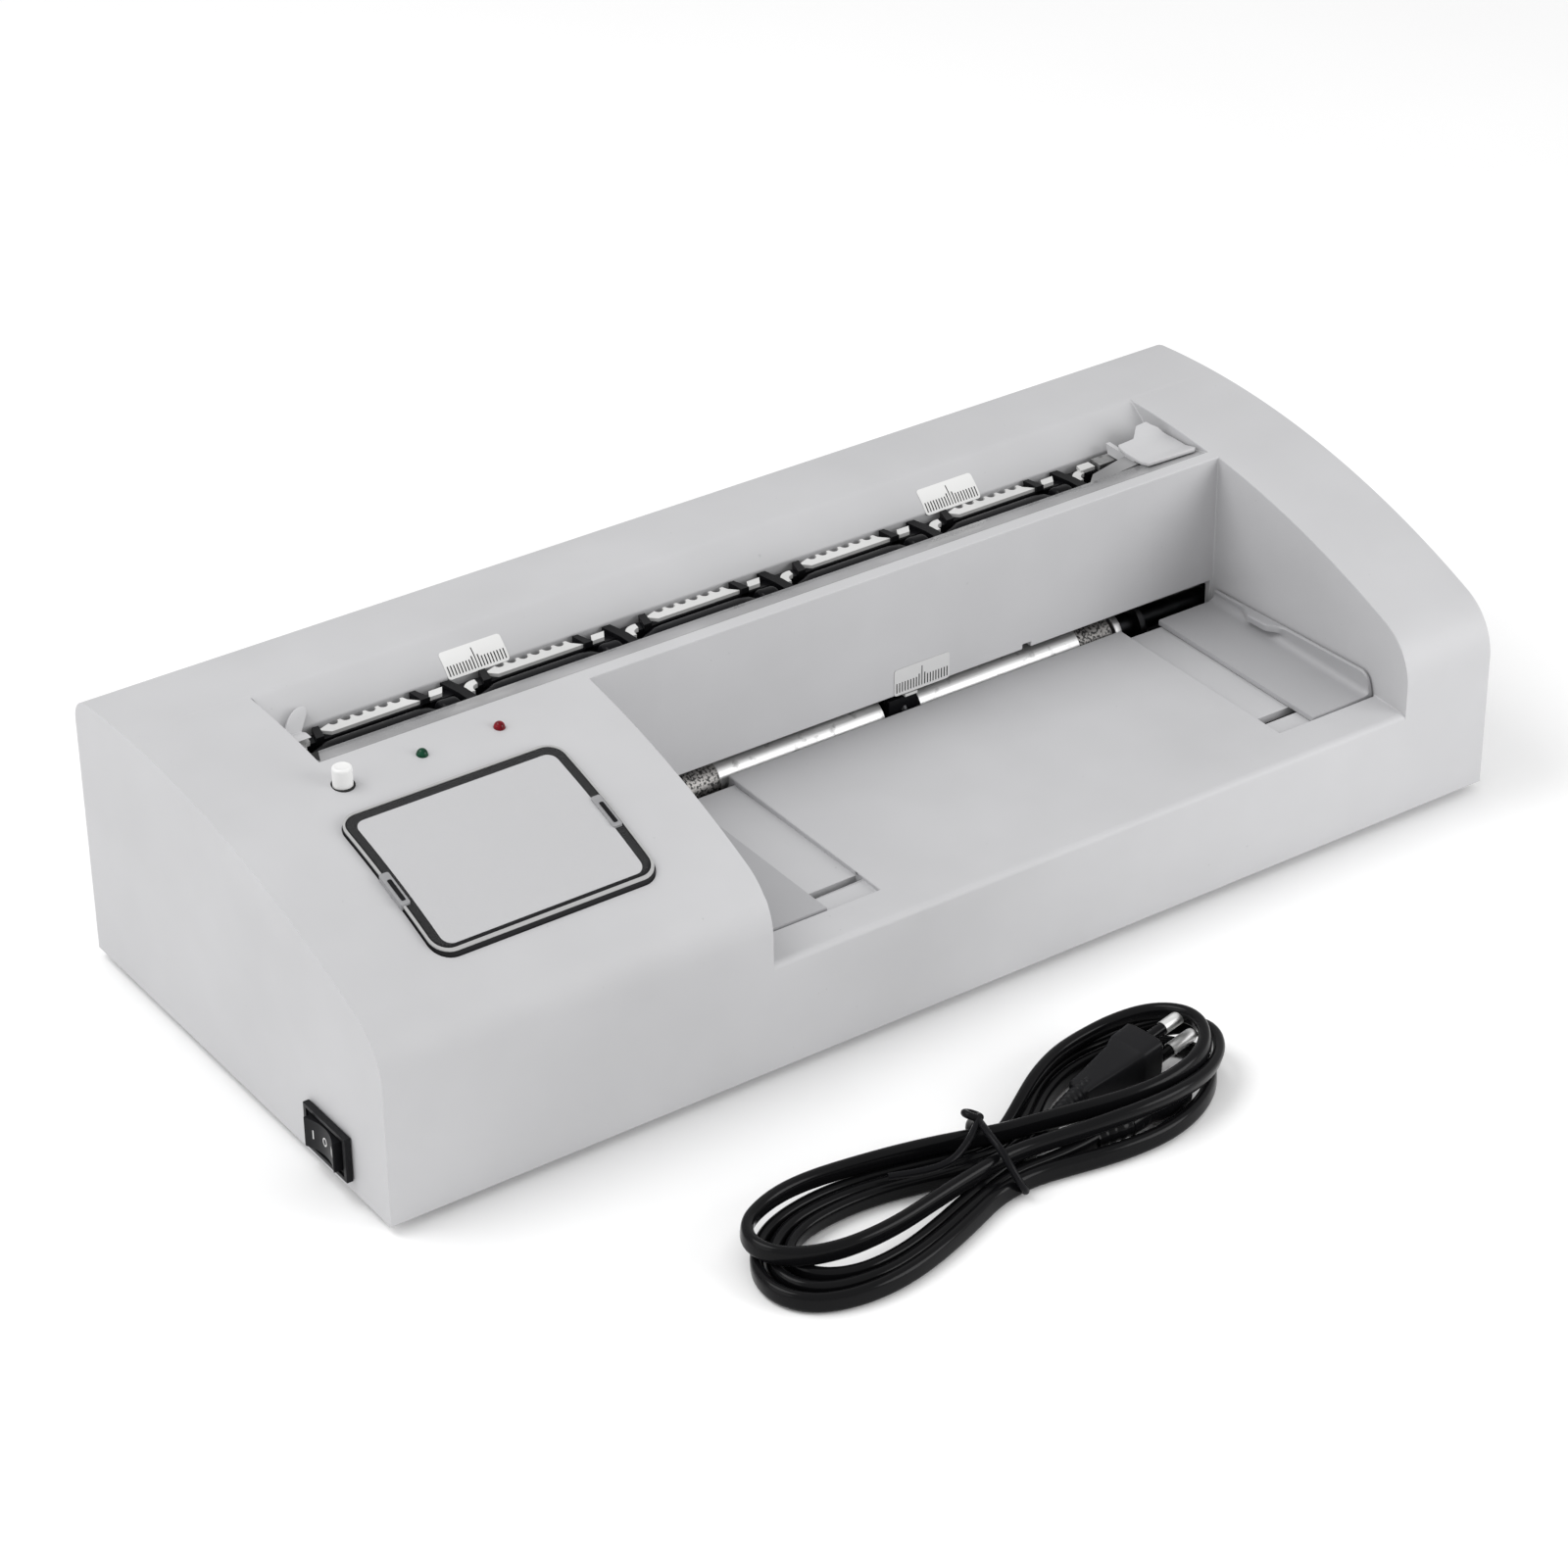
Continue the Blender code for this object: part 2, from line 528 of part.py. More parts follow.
def frame():
    for side, left in (("left", LEFT_PLATE_X), ("right", RIGHT_PLATE_X)):
        outline = plate_outline()
        if side == "left":
            outline = [(30.0, 3.2)] + outline[1:-1] + [(60.0, 52.0), (30.0, 49.0)]
        plate = prism(f"side_plate_{side}", outline, left, left + PLATE_WIDTH, STEEL)
        outer = left - GAP - BEARING_WIDTH if side == "left" else left + PLATE_WIDTH + GAP
        width = (outer, outer + BEARING_WIDTH)
        block = box(f"bearing_block_{side}", width, (91.0, 131.0), (24.0, 70.0), WHITE)
        for i, axis in enumerate(ARBOR_AXES):
            at = (outer + BEARING_WIDTH / 2, *axis)
            cut(plate, rod(f"plate_bore_{side}_{i}", "X", at, SHAFT_RADIUS + 1.0, 20.0, sides=16))
            cut(block, rod(f"block_bore_{side}_{i}", "X", at, SHAFT_RADIUS + 2 * GAP, 10.0, sides=16))
        if side == "left":
            cut(plate, rod("motor_opening", "X", (left, *MOTOR_AXIS), 4.0, 10.0))
    length = RIGHT_PLATE_X - LEFT_PLATE_X - PLATE_WIDTH - 2 * GAP
    middle = (RIGHT_PLATE_X + LEFT_PLATE_X + PLATE_WIDTH) / 2
    rod("tie_bar_front", "X", (middle, 70.0, 12.0), 3.0, length, STEEL, 16)
    rod("tie_bar_back", "X", (middle, 142.0, 60.0), 3.0, length, STEEL, 16)
    chute = [(112.0, 19.0), (156.0, 6.0), (156.0, 4.6), (112.0, 17.6)]
    prism("exit_chute", chute, OUTLET_LEFT - 2.0, OUTLET_RIGHT + 2.0, STEEL)


def disc_steps(left, right, first, pitch, count, radius, shift):
    """The steps of a shaft with cutting discs."""
    steps = [(0.0, SHAFT_RADIUS)]
    for i in range(count):
        start = first + pitch * i + shift - left
        end = start + DISC_WIDTH
        steps += [(start, SHAFT_RADIUS), (start, radius), (end, radius), (end, SHAFT_RADIUS)]
    steps.append((right - left, SHAFT_RADIUS))
    return steps


def arbors():
    shift = DISC_WIDTH + GAP
    left = LEFT_GEAR_X - 2.0
    slitters = (SLITTER_FIRST_X, SLITTER_PITCH, SLITTER_COUNT, SLITTER_DISC_RADIUS)
    cards = (CARD_FIRST_X, CARD_PITCH, CARD_COUNT)
    front_end = TRANSFER_GEAR_X + GEAR_WIDTH + 1.0
    card_end = CARD_GEAR_X + GEAR_WIDTH + 1.0
    back_end = RIGHT_PLATE_X + PLATE_WIDTH + GAP + BEARING_WIDTH + 1.0
    front = disc_steps(left, front_end, *slitters, 0.0)
    back = disc_steps(left, back_end, *slitters, shift)
    turned("slitter_arbor_front", "X", (left, *SLITTER_FRONT_AXIS), front, BLADE, ARBOR_SIDES)
    turned("slitter_arbor_back", "X", (left, *SLITTER_BACK_AXIS), back, BLADE, ARBOR_SIDES)
    card_left = LEFT_PLATE_X - GAP - BEARING_WIDTH - 1.0
    upper = disc_steps(card_left, card_end, *cards, CARD_UPPER_DISC_RADIUS, shift)
    lower = disc_steps(card_left, card_end, *cards, CARD_DISC_RADIUS, 0.0)
    turned("card_arbor_upper", "X", (card_left, *CARD_UPPER_AXIS), upper, BLADE, ARBOR_SIDES)
    turned("card_arbor_lower", "X", (card_left, *CARD_LOWER_AXIS), lower, BLADE, ARBOR_SIDES)
    start = CARD_FIRST_X + 6.0
    for name, first, last in (("card_roller_left", start, 225.0), ("card_roller_right", 238.0, 310.5)):
        at = ((first + last) / 2, *CARD_LOWER_AXIS)
        roller = rod(name, "X", at, CARD_ROLLER_RADIUS, last - first, ALUMINIUM, 24)
        cut(roller, rod(name + "_bore", "X", at, SHAFT_RADIUS + GAP, last - first + 4, sides=16))


def comb_outline(left, right):
    """A strip with pointed teeth on its back edge, as (x, y)."""
    outline = [(left, 113.9), (right, 113.9), (right, 116.9)]
    count = int((right - left - 4.0) / 4.0)
    for i in range(count):
        x = right - 2.0 - 4.0 * i
        outline += [(x, 117.0), (x - 0.8, 118.6), (x - 2.6, 118.6)]
    outline.append((left, 116.9))
    return outline


def paper_path():
    for i in range(SLITTER_COUNT - 1):
        left = SLITTER_FIRST_X + SLITTER_PITCH * i + 11.0
        slab(f"stripper_comb_{i + 1}", comb_outline(left, left + 30.0), 74.4, 75.6, WHITE)
    box("comb_rail", (WELL_LEFT + GAP, WELL_RIGHT - GAP), (113.4, 119.3), (71.6, 74.1), BLADE)
    box("front_guide_strip", (WELL_LEFT + GAP, WELL_RIGHT - GAP), (103.6, 112.4), (71.6, 76.8), BLACK)


def well_guides():
    """The paper guides of the well: a rib that lies on the back wall, and a cover with a fence."""
    rib = [(104.8, 77.2), (117.0, 77.2), (119.2, 77.4), (122.2, 80.0), (120.8, 81.6),
           (117.6, 79.4), (104.8, 78.2)]
    prism("well_guide_left", rib, 42.0, 47.8, GUIDE)
    cover = [(94.0, 84.0), (94.0, 82.8), (104.5, 80.3), (117.5, 79.8), (117.5, 81.0), (104.5, 81.5)]
    made = prism("well_guide_right", cover, 325.0, 346.8, GUIDE)
    fence = [(104.6, 77.2), (117.4, 77.2), (117.4, 80.9), (104.6, 81.0)]
    join(made, prism("well_guide_fence", fence, 325.1, 326.6))


def tray_guide(name, left, right, fence):
    """A strip guide of the tray: a flat plate with an upright fence and a peg in the slot."""
    floor = TRAY_LEVEL - RECESS_DEPTH
    made = box(name, (left, right), (RECESS_FRONT + 0.5, TRAY_GUIDE_BACK), (floor + GAP, floor + 1.6), GUIDE)
    top = floor + 1.6 + TRAY_FENCE_HEIGHT
    wall = [(RECESS_FRONT + 0.6, floor + 0.5), (TRAY_GUIDE_BACK - 0.1, floor + 0.5)]
    wall += arc((TRAY_GUIDE_BACK - 2.1, top - 2.0), 2.0, 0.0, 90.0, 3)
    wall += arc((RECESS_FRONT + 2.6, top - 2.0), 2.0, 90.0, 180.0, 3)
    join(made, prism(name + "_fence", wall, fence, fence + 1.2))
    peg_x = (left + right) / 2
    peg_y = PEG_SLOT_FRONT + PEG_SLOT_WIDTH / 2
    join(made, rod(name + "_peg", "Z", (peg_x, peg_y, floor - 2.0), 1.2, 6.0, sides=16))


def guides():
    well_guides()
    tray_guide("tray_guide_left", 124.5, 150.0, 124.6)
    tray_guide("tray_guide_right", 325.0, 348.1, 346.8)


def console():
    label_solid("label_card", 1.6, 0.9, 0.5, PAPER)
    label_solid("label_cover", 0.3, 0.2, -1.3, CLEAR)
    x, y = BUTTON_AT
    top = roof_z(y) + BUTTON_PROUD
    cap = [(0.0, BUTTON_RADIUS), (top - 76.6, BUTTON_RADIUS), (top - 76.0, BUTTON_RADIUS - 0.6)]
    turned("start_button", "Z", (x, y, 76.0), cap, WHITE)
    box("button_switch", (x - 4, x + 4), (y - 4, y + 4), (BOARD_LEVEL + 1.9, 72.8), BLACK)
    for name, led_x, finish in (("led_green", LED_GREEN_X, GREEN), ("led_red", LED_RED_X, RED)):
        dome = roof_z(LED_Y) + 0.9
        base = BOARD_LEVEL + 1.9
        steps = [(0.0, LED_RADIUS), (dome - 1.2 - base, LED_RADIUS), (dome - 0.5 - base, LED_RADIUS * 0.8),
                 (dome - base, LED_RADIUS * 0.3)]
        turned(name, "Z", (led_x, LED_Y, base), steps, finish, 16)
    box("control_board", (36.0, 117.0), (63.0, 89.0), (BOARD_LEVEL, BOARD_LEVEL + 1.6), BOARD)
    box("transformer", (42.0, 84.0), (6.0, 31.0), (3.2, 36.0), STEEL, 1.0)


def mains_inlet():
    """The two-pin inlet in the back wall: a flange, a body and a figure-eight socket."""
    sides = (INLET_X - 11.0, INLET_X + 11.0)
    body = box("mains_inlet", sides, (DEPTH - 20.0, DEPTH + 1.0), (10.0, 25.0), BLACK)
    join(body, box("inlet_flange", (sides[0] - 2.4, sides[1] + 2.4), (DEPTH + GAP, DEPTH + 1.8), (7.6, 27.4)))
    for i, x in enumerate((INLET_X - 3.5, INLET_X + 3.5)):
        cut(body, rod(f"socket_{i}", "Y", (x, DEPTH - 4.0, 17.5), 4.2, 14.0, sides=16))


def rocker_switch():
    """The three-position rocker: its bezel and body in the wall, and the rocker on an upright pin."""
    long = SWITCH_LONG / 2
    high = SWITCH_HIGH / 2
    bezel = box("rocker_bezel", (-GAP - SWITCH_PROUD, -GAP), (SWITCH_Y - long, SWITCH_Y + long),
                (SWITCH_Z - high, SWITCH_Z + high), BLACK, 0.6)
    body = (SWITCH_Y - 9.1, SWITCH_Y + 9.1)
    pocket = (SWITCH_Y - 8.6, SWITCH_Y + 8.6)
    join(bezel, box("switch_body", (-GAP - 1.0, 18.0), body, (SWITCH_Z - 5.7, SWITCH_Z + 5.7)))
    cut(bezel, box("rocker_pocket", (-5.0, 6.0), pocket, (SWITCH_Z - 5.0, SWITCH_Z + 5.0)))
    hub = world(2.2, SWITCH_Y, SWITCH_Z)
    outline = arc((-17.0, SWITCH_Y), 14.8, -30.0, 30.0, 8)
    outline += [(-4.0, SWITCH_Y + 7.6), (2.0, SWITCH_Y + 7.6), (4.2, SWITCH_Y + 3.0)]
    outline += [(4.2, SWITCH_Y - 3.0), (2.0, SWITCH_Y - 7.6), (-4.0, SWITCH_Y - 7.6)]
    slab("rocker", outline, SWITCH_Z - 4.6, SWITCH_Z + 4.6, BLACK, hub)


def closed_spline(points, steps=4):
    """A closed Catmull-Rom curve through (x, y) points."""
    out = []
    count = len(points)
    for i in range(count):
        a, b, c, d = (points[(i + k) % count] for k in (-1, 0, 1, 2))
        for j in range(steps):
            t = j / steps
            out.append(tuple(
                0.5 * (2 * b[k] + (c[k] - a[k]) * t + (2 * a[k] - 5 * b[k] + 4 * c[k] - d[k]) * t * t
                       + (3 * b[k] - a[k] - 3 * c[k] + d[k]) * t ** 3)
                for k in (0, 1)
            ))
    return out


# The hank's outside as (x, y), and the clear middle of each of its two loops.
HANK_OUTSIDE = [(63, -66), (71, -56), (84, -50), (98, -50), (122, -54), (147, -59), (158, -56),
                (172, -48), (184, -42), (198, -40), (212, -41), (224, -48), (230, -60), (226, -71),
                (212, -81), (194, -87), (176, -87), (155, -83), (143, -83), (124, -89), (97, -97),
                (80, -97), (67, -93), (61, -82)]
LEFT_LOOP = [(79, -73), (87, -66), (101, -65), (117, -68), (118, -77), (103, -84), (86, -84)]
RIGHT_LOOP = [(168, -65), (180, -53), (199, -49), (213, -51), (220, -61), (215, -70), (201, -74),
              (181, -73)]


def lead_block(name, tail, nose, half, low, high, finish=None, grow=0.0):
    """A block along a line on the table, for what sits on the lead."""
    middle = ((tail[0] + nose[0]) / 2, (tail[1] + nose[1]) / 2)
    length = math.dist(tail, nose) / 2 + grow
    turn = math.atan2(nose[1] - tail[1], nose[0] - tail[0])
    xs = (middle[0] - length, middle[0] + length)
    ys = (middle[1] - half - grow, middle[1] + half + grow)
    return box(name, xs, ys, (low - grow, high + grow), finish, 0.0, turn)


def mains_lead():
    floor = -FOOT_HEIGHT
    bottom = floor + HANK_BOTTOM
    hank = slab("cord_hank", closed_spline(HANK_OUTSIDE, 3), bottom, floor + HANK_TOP, CORD)
    cut(hank, slab("left_loop", closed_spline(LEFT_LOOP, 3), bottom - 5, floor + 30.0))
    cut(hank, slab("right_loop", closed_spline(RIGHT_LOOP, 3), bottom - 5, floor + 30.0))
    plug_span = (floor + 2.0, floor + 12.0)
    plug = lead_block("cord_plug", PLUG_TAIL, PLUG_NOSE, 6.5, *plug_span, CORD)
    room = (plug_span[0], plug_span[1] + 30.0)
    cut(hank, lead_block("plug_room", PLUG_TAIL, PLUG_NOSE, 6.5, *room, None, 1.0))
    heading = Vector((PLUG_NOSE[0] - PLUG_TAIL[0], PLUG_NOSE[1] - PLUG_TAIL[1], 0)).normalized()
    for side in (-1, 1):
        aside = Vector((-heading.y, heading.x, 0)) * 3.5 * side
        start = Vector((*PLUG_NOSE, 0)) + heading * 6.0 + aside
        pin = rod(f"plug_pin_{side}", "X", (start.x, start.y, floor + 7.0), 2.0, 22.0, None, 12)
        pin.rotation_euler = (0, math.pi / 2, math.atan2(heading.y, heading.x))
        join(plug, pin)
        room = rod(f"pin_room_{side}", "X", (start.x, start.y, floor + 7.0), 2.6, 24.0, None, 12)
        room.rotation_euler = pin.rotation_euler
        cut(hank, room)
    ends = (CONNECTOR_TAIL, CONNECTOR_NOSE, 5.0, floor + 0.6, floor + 10.0)
    lead_block("cord_connector", *ends, CORD)
    cut(hank, lead_block("connector_room", *ends, None, 0.6))
    waist = (TIE_AT[0] - 3, TIE_AT[0] + 3)
    cut(hank, box("tie_room", waist, (-100.0, -30.0), (floor - 5.0, floor + 2.8)))
    tie()


def tie():
    """A wire ring round the waist of the hank, flat under it and arched over it."""
    floor = -FOOT_HEIGHT
    half = 15.0
    height = HANK_TOP + 1.6
    ring = []
    for i in range(24):
        angle = 2 * math.pi * i / 24
        across = math.copysign(abs(math.cos(angle)) ** 0.3, math.cos(angle)) * half
        rise = math.copysign(abs(math.sin(angle)) ** 0.3, math.sin(angle))
        ring.append(world(TIE_AT[0], TIE_AT[1] + across, floor + 1.5 + (height - 1.5) * (0.5 + 0.5 * rise)))
    curve = bpy.data.curves.new("cord_tie", "CURVE")
    curve.dimensions = "3D"
    curve.bevel_depth = TIE_RADIUS * MM
    curve.bevel_resolution = 2
    spline = curve.splines.new("POLY")
    spline.points.add(len(ring) - 1)
    for point, at in zip(spline.points, ring):
        point.co = (*at, 1.0)
    spline.use_cyclic_u = True
    curve.materials.append(BLACK)
    parts.objects.link(bpy.data.objects.new("cord_tie", curve))


top_housing()
base_parts()
frame()
drive()
arbors()
paper_path()
guides()
console()
mains_inlet()
rocker_switch()
mains_lead()
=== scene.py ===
"""The looks of an electric A4 card slitter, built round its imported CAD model.

Lengths are in millimetres, measured from the housing's front left bottom corner: x runs along
the housing, y from front to back, z up. at() turns them into the frame's metres.
"""
import json
import math

import bmesh
import bpy
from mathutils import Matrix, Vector


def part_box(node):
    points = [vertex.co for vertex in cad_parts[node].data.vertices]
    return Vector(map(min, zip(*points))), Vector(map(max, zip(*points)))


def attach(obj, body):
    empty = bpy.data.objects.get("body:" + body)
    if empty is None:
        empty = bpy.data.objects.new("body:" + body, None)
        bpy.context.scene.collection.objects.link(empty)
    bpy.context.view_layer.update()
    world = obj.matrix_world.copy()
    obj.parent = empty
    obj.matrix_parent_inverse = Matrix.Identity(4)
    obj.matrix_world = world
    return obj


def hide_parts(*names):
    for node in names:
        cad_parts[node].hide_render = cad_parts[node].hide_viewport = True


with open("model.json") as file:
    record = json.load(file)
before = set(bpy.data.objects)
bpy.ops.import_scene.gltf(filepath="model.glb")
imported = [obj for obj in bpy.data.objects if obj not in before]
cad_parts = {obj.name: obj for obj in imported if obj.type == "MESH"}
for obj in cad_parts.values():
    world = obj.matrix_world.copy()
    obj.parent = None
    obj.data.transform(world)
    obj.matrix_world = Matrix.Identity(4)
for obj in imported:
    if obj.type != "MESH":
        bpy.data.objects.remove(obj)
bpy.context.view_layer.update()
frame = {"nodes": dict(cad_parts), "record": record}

MM = 0.001
SHELL_LOW, SHELL_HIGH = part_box("top_housing")
LENGTH = (SHELL_HIGH.x - SHELL_LOW.x) / MM
DEPTH = (SHELL_HIGH.y - SHELL_LOW.y) / MM
# The table's height: the feet hold the housing over it.
FLOOR = -SHELL_LOW.z / MM


def at(x, y, z):
    """A point in the frame, from millimetres measured at the housing's corner."""
    return SHELL_LOW + Vector((x, y, z)) * MM


def placed(name, data):
    """A new object in the scene."""
    made = bpy.data.objects.new(name, data)
    bpy.context.scene.collection.objects.link(made)
    return made


# ---- node materials ----

# Every material by its own name. The record's material slots have the same names.
FINISHES = {}


def shader(name, colour, roughness, metallic=0.0, coat=0.0):
    """A material, its nodes, its links and its Principled shader."""
    made = bpy.data.materials.new(name)
    FINISHES[name] = made
    made.use_nodes = True
    tree = made.node_tree
    principled = tree.nodes["Principled BSDF"]
    principled.inputs["Base Color"].default_value = (*colour, 1.0)
    principled.inputs["Roughness"].default_value = roughness
    principled.inputs["Metallic"].default_value = metallic
    principled.inputs["Coat Weight"].default_value = coat
    made.diffuse_color = (*colour, 1.0)
    return made, tree.nodes, tree.links, principled


def noise_node(nodes, links, scale, detail=4.0, stretch=None):
    """A noise texture on the object's own coordinates, in features per metre."""
    place = nodes.new("ShaderNodeTexCoord")
    texture = nodes.new("ShaderNodeTexNoise")
    texture.inputs["Scale"].default_value = scale
    texture.inputs["Detail"].default_value = detail
    source = place.outputs["Object"]
    if stretch:
        mapping = nodes.new("ShaderNodeMapping")
        mapping.inputs["Scale"].default_value = stretch
        links.new(source, mapping.inputs["Vector"])
        source = mapping.outputs["Vector"]
    links.new(source, texture.inputs["Vector"])
    return texture


def ramp(nodes, links, texture, stops):
    """The colours that a texture gives through a ramp: stops is a list of (position, colour)."""
    made = nodes.new("ShaderNodeValToRGB")
    points = made.color_ramp.elements
    while len(points) < len(stops):
        points.new(0.5)
    for point, (position, colour) in zip(points, stops):
        point.position = position
        point.color = (*colour, 1.0)
    links.new(texture.outputs["Fac"], made.inputs["Fac"])
    return made.outputs["Color"]


def shade(colour, factor):
    """The colour made lighter or darker by a factor."""
    return tuple(min(1.0, part * factor) for part in colour)


def mix_over(nodes, links, factor, base, top):
    """The colour top laid over base where factor is 1."""
    made = nodes.new("ShaderNodeMix")
    made.data_type = "RGBA"
    links.new(factor, made.inputs["Factor"])
    links.new(base, made.inputs["A"])
    made.inputs["B"].default_value = (*top, 1.0)
    return made.outputs["Result"]


def bump(nodes, links, principled, texture, strength, distance):
    """Relief from a texture, distance in metres."""
    made = nodes.new("ShaderNodeBump")
    made.inputs["Strength"].default_value = strength
    made.inputs["Distance"].default_value = distance
    links.new(texture.outputs["Fac"], made.inputs["Height"])
    links.new(made.outputs["Normal"], principled.inputs["Normal"])


def vary_roughness(nodes, links, principled, texture, low, high):
    """A roughness between low and high, as a texture has it."""
    made = nodes.new("ShaderNodeMapRange")
    made.inputs["To Min"].default_value = low
    made.inputs["To Max"].default_value = high
    links.new(texture.outputs["Fac"], made.inputs["Value"])
    links.new(made.outputs["Result"], principled.inputs["Roughness"])


def moulded(name, colour, roughness, grain=1400.0, depth=0.00002, wear=0.04, coat=0.0):
    """Moulded plastic: a fine grain, a faint mottle, and darker rubbed specks."""
    made, nodes, links, principled = shader(name, colour, roughness, 0.0, coat)
    mottle = noise_node(nodes, links, 22.0, 3.0)
    tone = ramp(nodes, links, mottle, [(0.3, shade(colour, 1.0 - wear)), (0.7, shade(colour, 1.0 + wear))])
    specks = noise_node(nodes, links, 420.0, 2.0)
    marks = ramp(nodes, links, specks, [(0.76, (0, 0, 0)), (0.80, (1, 1, 1))])
    dirty = mix_over(nodes, links, marks, tone, shade(colour, 0.86))
    links.new(dirty, principled.inputs["Base Color"])
    bump(nodes, links, principled, noise_node(nodes, links, grain, 2.0), 0.35, depth)
    vary_roughness(nodes, links, principled, mottle, roughness - 0.05, roughness + 0.07)
    return made


def metal(name, colour, roughness, stretch=(40.0, 900.0, 900.0), stain=None, stain_from=0.6,
          patch=260.0):
    """Machined or rolled metal: fine lines along x, and stains where stain is given."""
    made, nodes, links, principled = shader(name, colour, roughness, 1.0)
    lines = noise_node(nodes, links, 1.0, 4.0, stretch)
    result = ramp(nodes, links, lines, [(0.25, shade(colour, 0.75)), (0.75, shade(colour, 1.15))])
    if stain:
        patches = noise_node(nodes, links, patch, 6.0)
        where = ramp(nodes, links, patches, [(stain_from, (0, 0, 0)), (stain_from + 0.12, (1, 1, 1))])
        result = mix_over(nodes, links, where, result, stain)
    links.new(result, principled.inputs["Base Color"])
    bump(nodes, links, principled, lines, 0.25, 0.00003)
    vary_roughness(nodes, links, principled, lines, roughness, roughness + 0.15)
    return made


def clear(name, colour, alpha, roughness):
    """Thin clear plastic with faint scratches."""
    made, nodes, links, principled = shader(name, colour, roughness)
    principled.inputs["Alpha"].default_value = alpha
    principled.inputs["IOR"].default_value = 1.49
    scratches = noise_node(nodes, links, 1.0, 5.0, (60.0, 1500.0, 60.0))
    tone = ramp(nodes, links, scratches, [(0.3, shade(colour, 0.92)), (0.7, colour)])
    links.new(tone, principled.inputs["Base Color"])
    bump(nodes, links, principled, scratches, 0.1, 0.00002)
    return made


def lens(name, colour):
    """A tinted lamp dome, cloudy like a moulded epoxy body."""
    made, nodes, links, principled = shader(name, colour, 0.14)
    principled.inputs["Specular IOR Level"].default_value = 0.20
    cloud = noise_node(nodes, links, 700.0, 2.0)
    tone = ramp(nodes, links, cloud, [(0.3, shade(colour, 0.6)), (0.7, shade(colour, 1.6))])
    links.new(tone, principled.inputs["Base Color"])
    bump(nodes, links, principled, cloud, 0.05, 0.00002)
    return made


moulded("housing_plastic", (0.475, 0.475, 0.485), 0.50)
moulded("guide_plastic", (0.36, 0.36, 0.37), 0.42)
BLACK = moulded("black_plastic", (0.008, 0.008, 0.009), 0.34, wear=0.25)
moulded("white_plastic", (0.72, 0.72, 0.715), 0.38, wear=0.03)
metal("sheet_steel", (0.52, 0.52, 0.53), 0.32)
metal("blackened_steel", (0.035, 0.035, 0.037), 0.30, (200.0, 700.0, 700.0), (0.16, 0.16, 0.16), 0.66)
metal("aluminium", (0.68, 0.68, 0.68), 0.36, (30.0, 800.0, 800.0), (0.30, 0.30, 0.30), 0.60)
moulded("gear_nylon", (0.72, 0.70, 0.62), 0.45)
moulded("foot_rubber", (0.02, 0.02, 0.021), 0.75, 700.0, 0.00006, 0.2)
clear("clear_acrylic", (0.60, 0.60, 0.60), 0.012, 0.06)
moulded("label_card", (0.455, 0.455, 0.465), 0.55, 3000.0, 0.00001, 0.01)
lens("green_lens", (0.002, 0.040, 0.018))
lens("red_lens", (0.14, 0.001, 0.006))
moulded("circuit_board", (0.02, 0.13, 0.06), 0.42)
CORD = moulded("cord_pvc", (0.0045, 0.0045, 0.005), 0.15, 500.0, 0.00003, 0.2)

PALE = moulded("guide_pale", (0.50, 0.50, 0.51), 0.40)
LIP = moulded("lip_plastic", (0.285, 0.285, 0.29), 0.24, wear=0.45, coat=0.4)
COMB = moulded("comb_plastic", (0.60, 0.60, 0.595), 0.42, wear=0.12)
GLOSS = moulded("gloss_plastic", (0.006, 0.006, 0.007), 0.26, wear=0.3)
BORDER = moulded("printed_black", (0.015, 0.015, 0.016), 0.40, 2400.0, 0.00001, 0.15)
# A near-black that paints the shadow in the button's hole and in the well's end corner.
SHADOW = moulded("painted_shadow_black", (0.03, 0.03, 0.03), 0.70)
STICKER_GREY = moulded("sticker_grey", (0.56, 0.56, 0.56), 0.45, wear=0.02)
SPECKLED = metal("cast_bracket", (0.40, 0.40, 0.40), 0.5, (500.0, 500.0, 500.0), (0.10, 0.10, 0.10), 0.56)
# Darker, speckled metal for the lower roller's two end lengths.
DARK_ENDS = metal("roller_dark_end", (0.34, 0.33, 0.32), 0.45, (60.0, 500.0, 500.0), (0.05, 0.05, 0.05), 0.46, 1300.0)
PIN = metal("plated_pin", (0.90, 0.90, 0.88), 0.42, (90.0, 700.0, 700.0))
# The cover's rim: nearly opaque light grey, a painted sheen on the clear plate's edge.
RIM_SHEEN = clear("painted_rim_sheen", (0.42, 0.42, 0.42), 0.92, 0.16)
CLIP = clear("clear_clip", (0.34, 0.34, 0.35), 0.80, 0.10)

# Less mirror-like blacks, because the studio is white all round.
for dark, level in ((CORD, 0.11), (BLACK, 0.12), (GLOSS, 0.08), (BORDER, 0.08), (SHADOW, 0.05)):
    dark.node_tree.nodes["Principled BSDF"].inputs["Specular IOR Level"].default_value = level


def finish_cad_nodes():
    """Every CAD node takes the finish of its slot in the record."""
    for row in frame["record"]["subparts"]:
        slots = frame["nodes"][row["node"]].material_slots
        for slot in slots:
            slot.material = FINISHES[row["material_slot"]]


# ---- camera, floor and light ----

AZIMUTH = math.radians(-34.73)
ELEVATION = math.radians(31.54)
ROLL = math.radians(-0.54)
LENS = 104.16
CAMERA_AT = (-454.96, -837.9, 716.2)
LIGHTS = (
    ("key", (-500.0, 500.0, 1300.0), 0.9, 9.0),
    ("front_fill", (900.0, -900.0, 420.0), 0.8, 7.2),
    ("left_fill", (-1200.0, 200.0, 600.0), 1.2, 4.0),
)


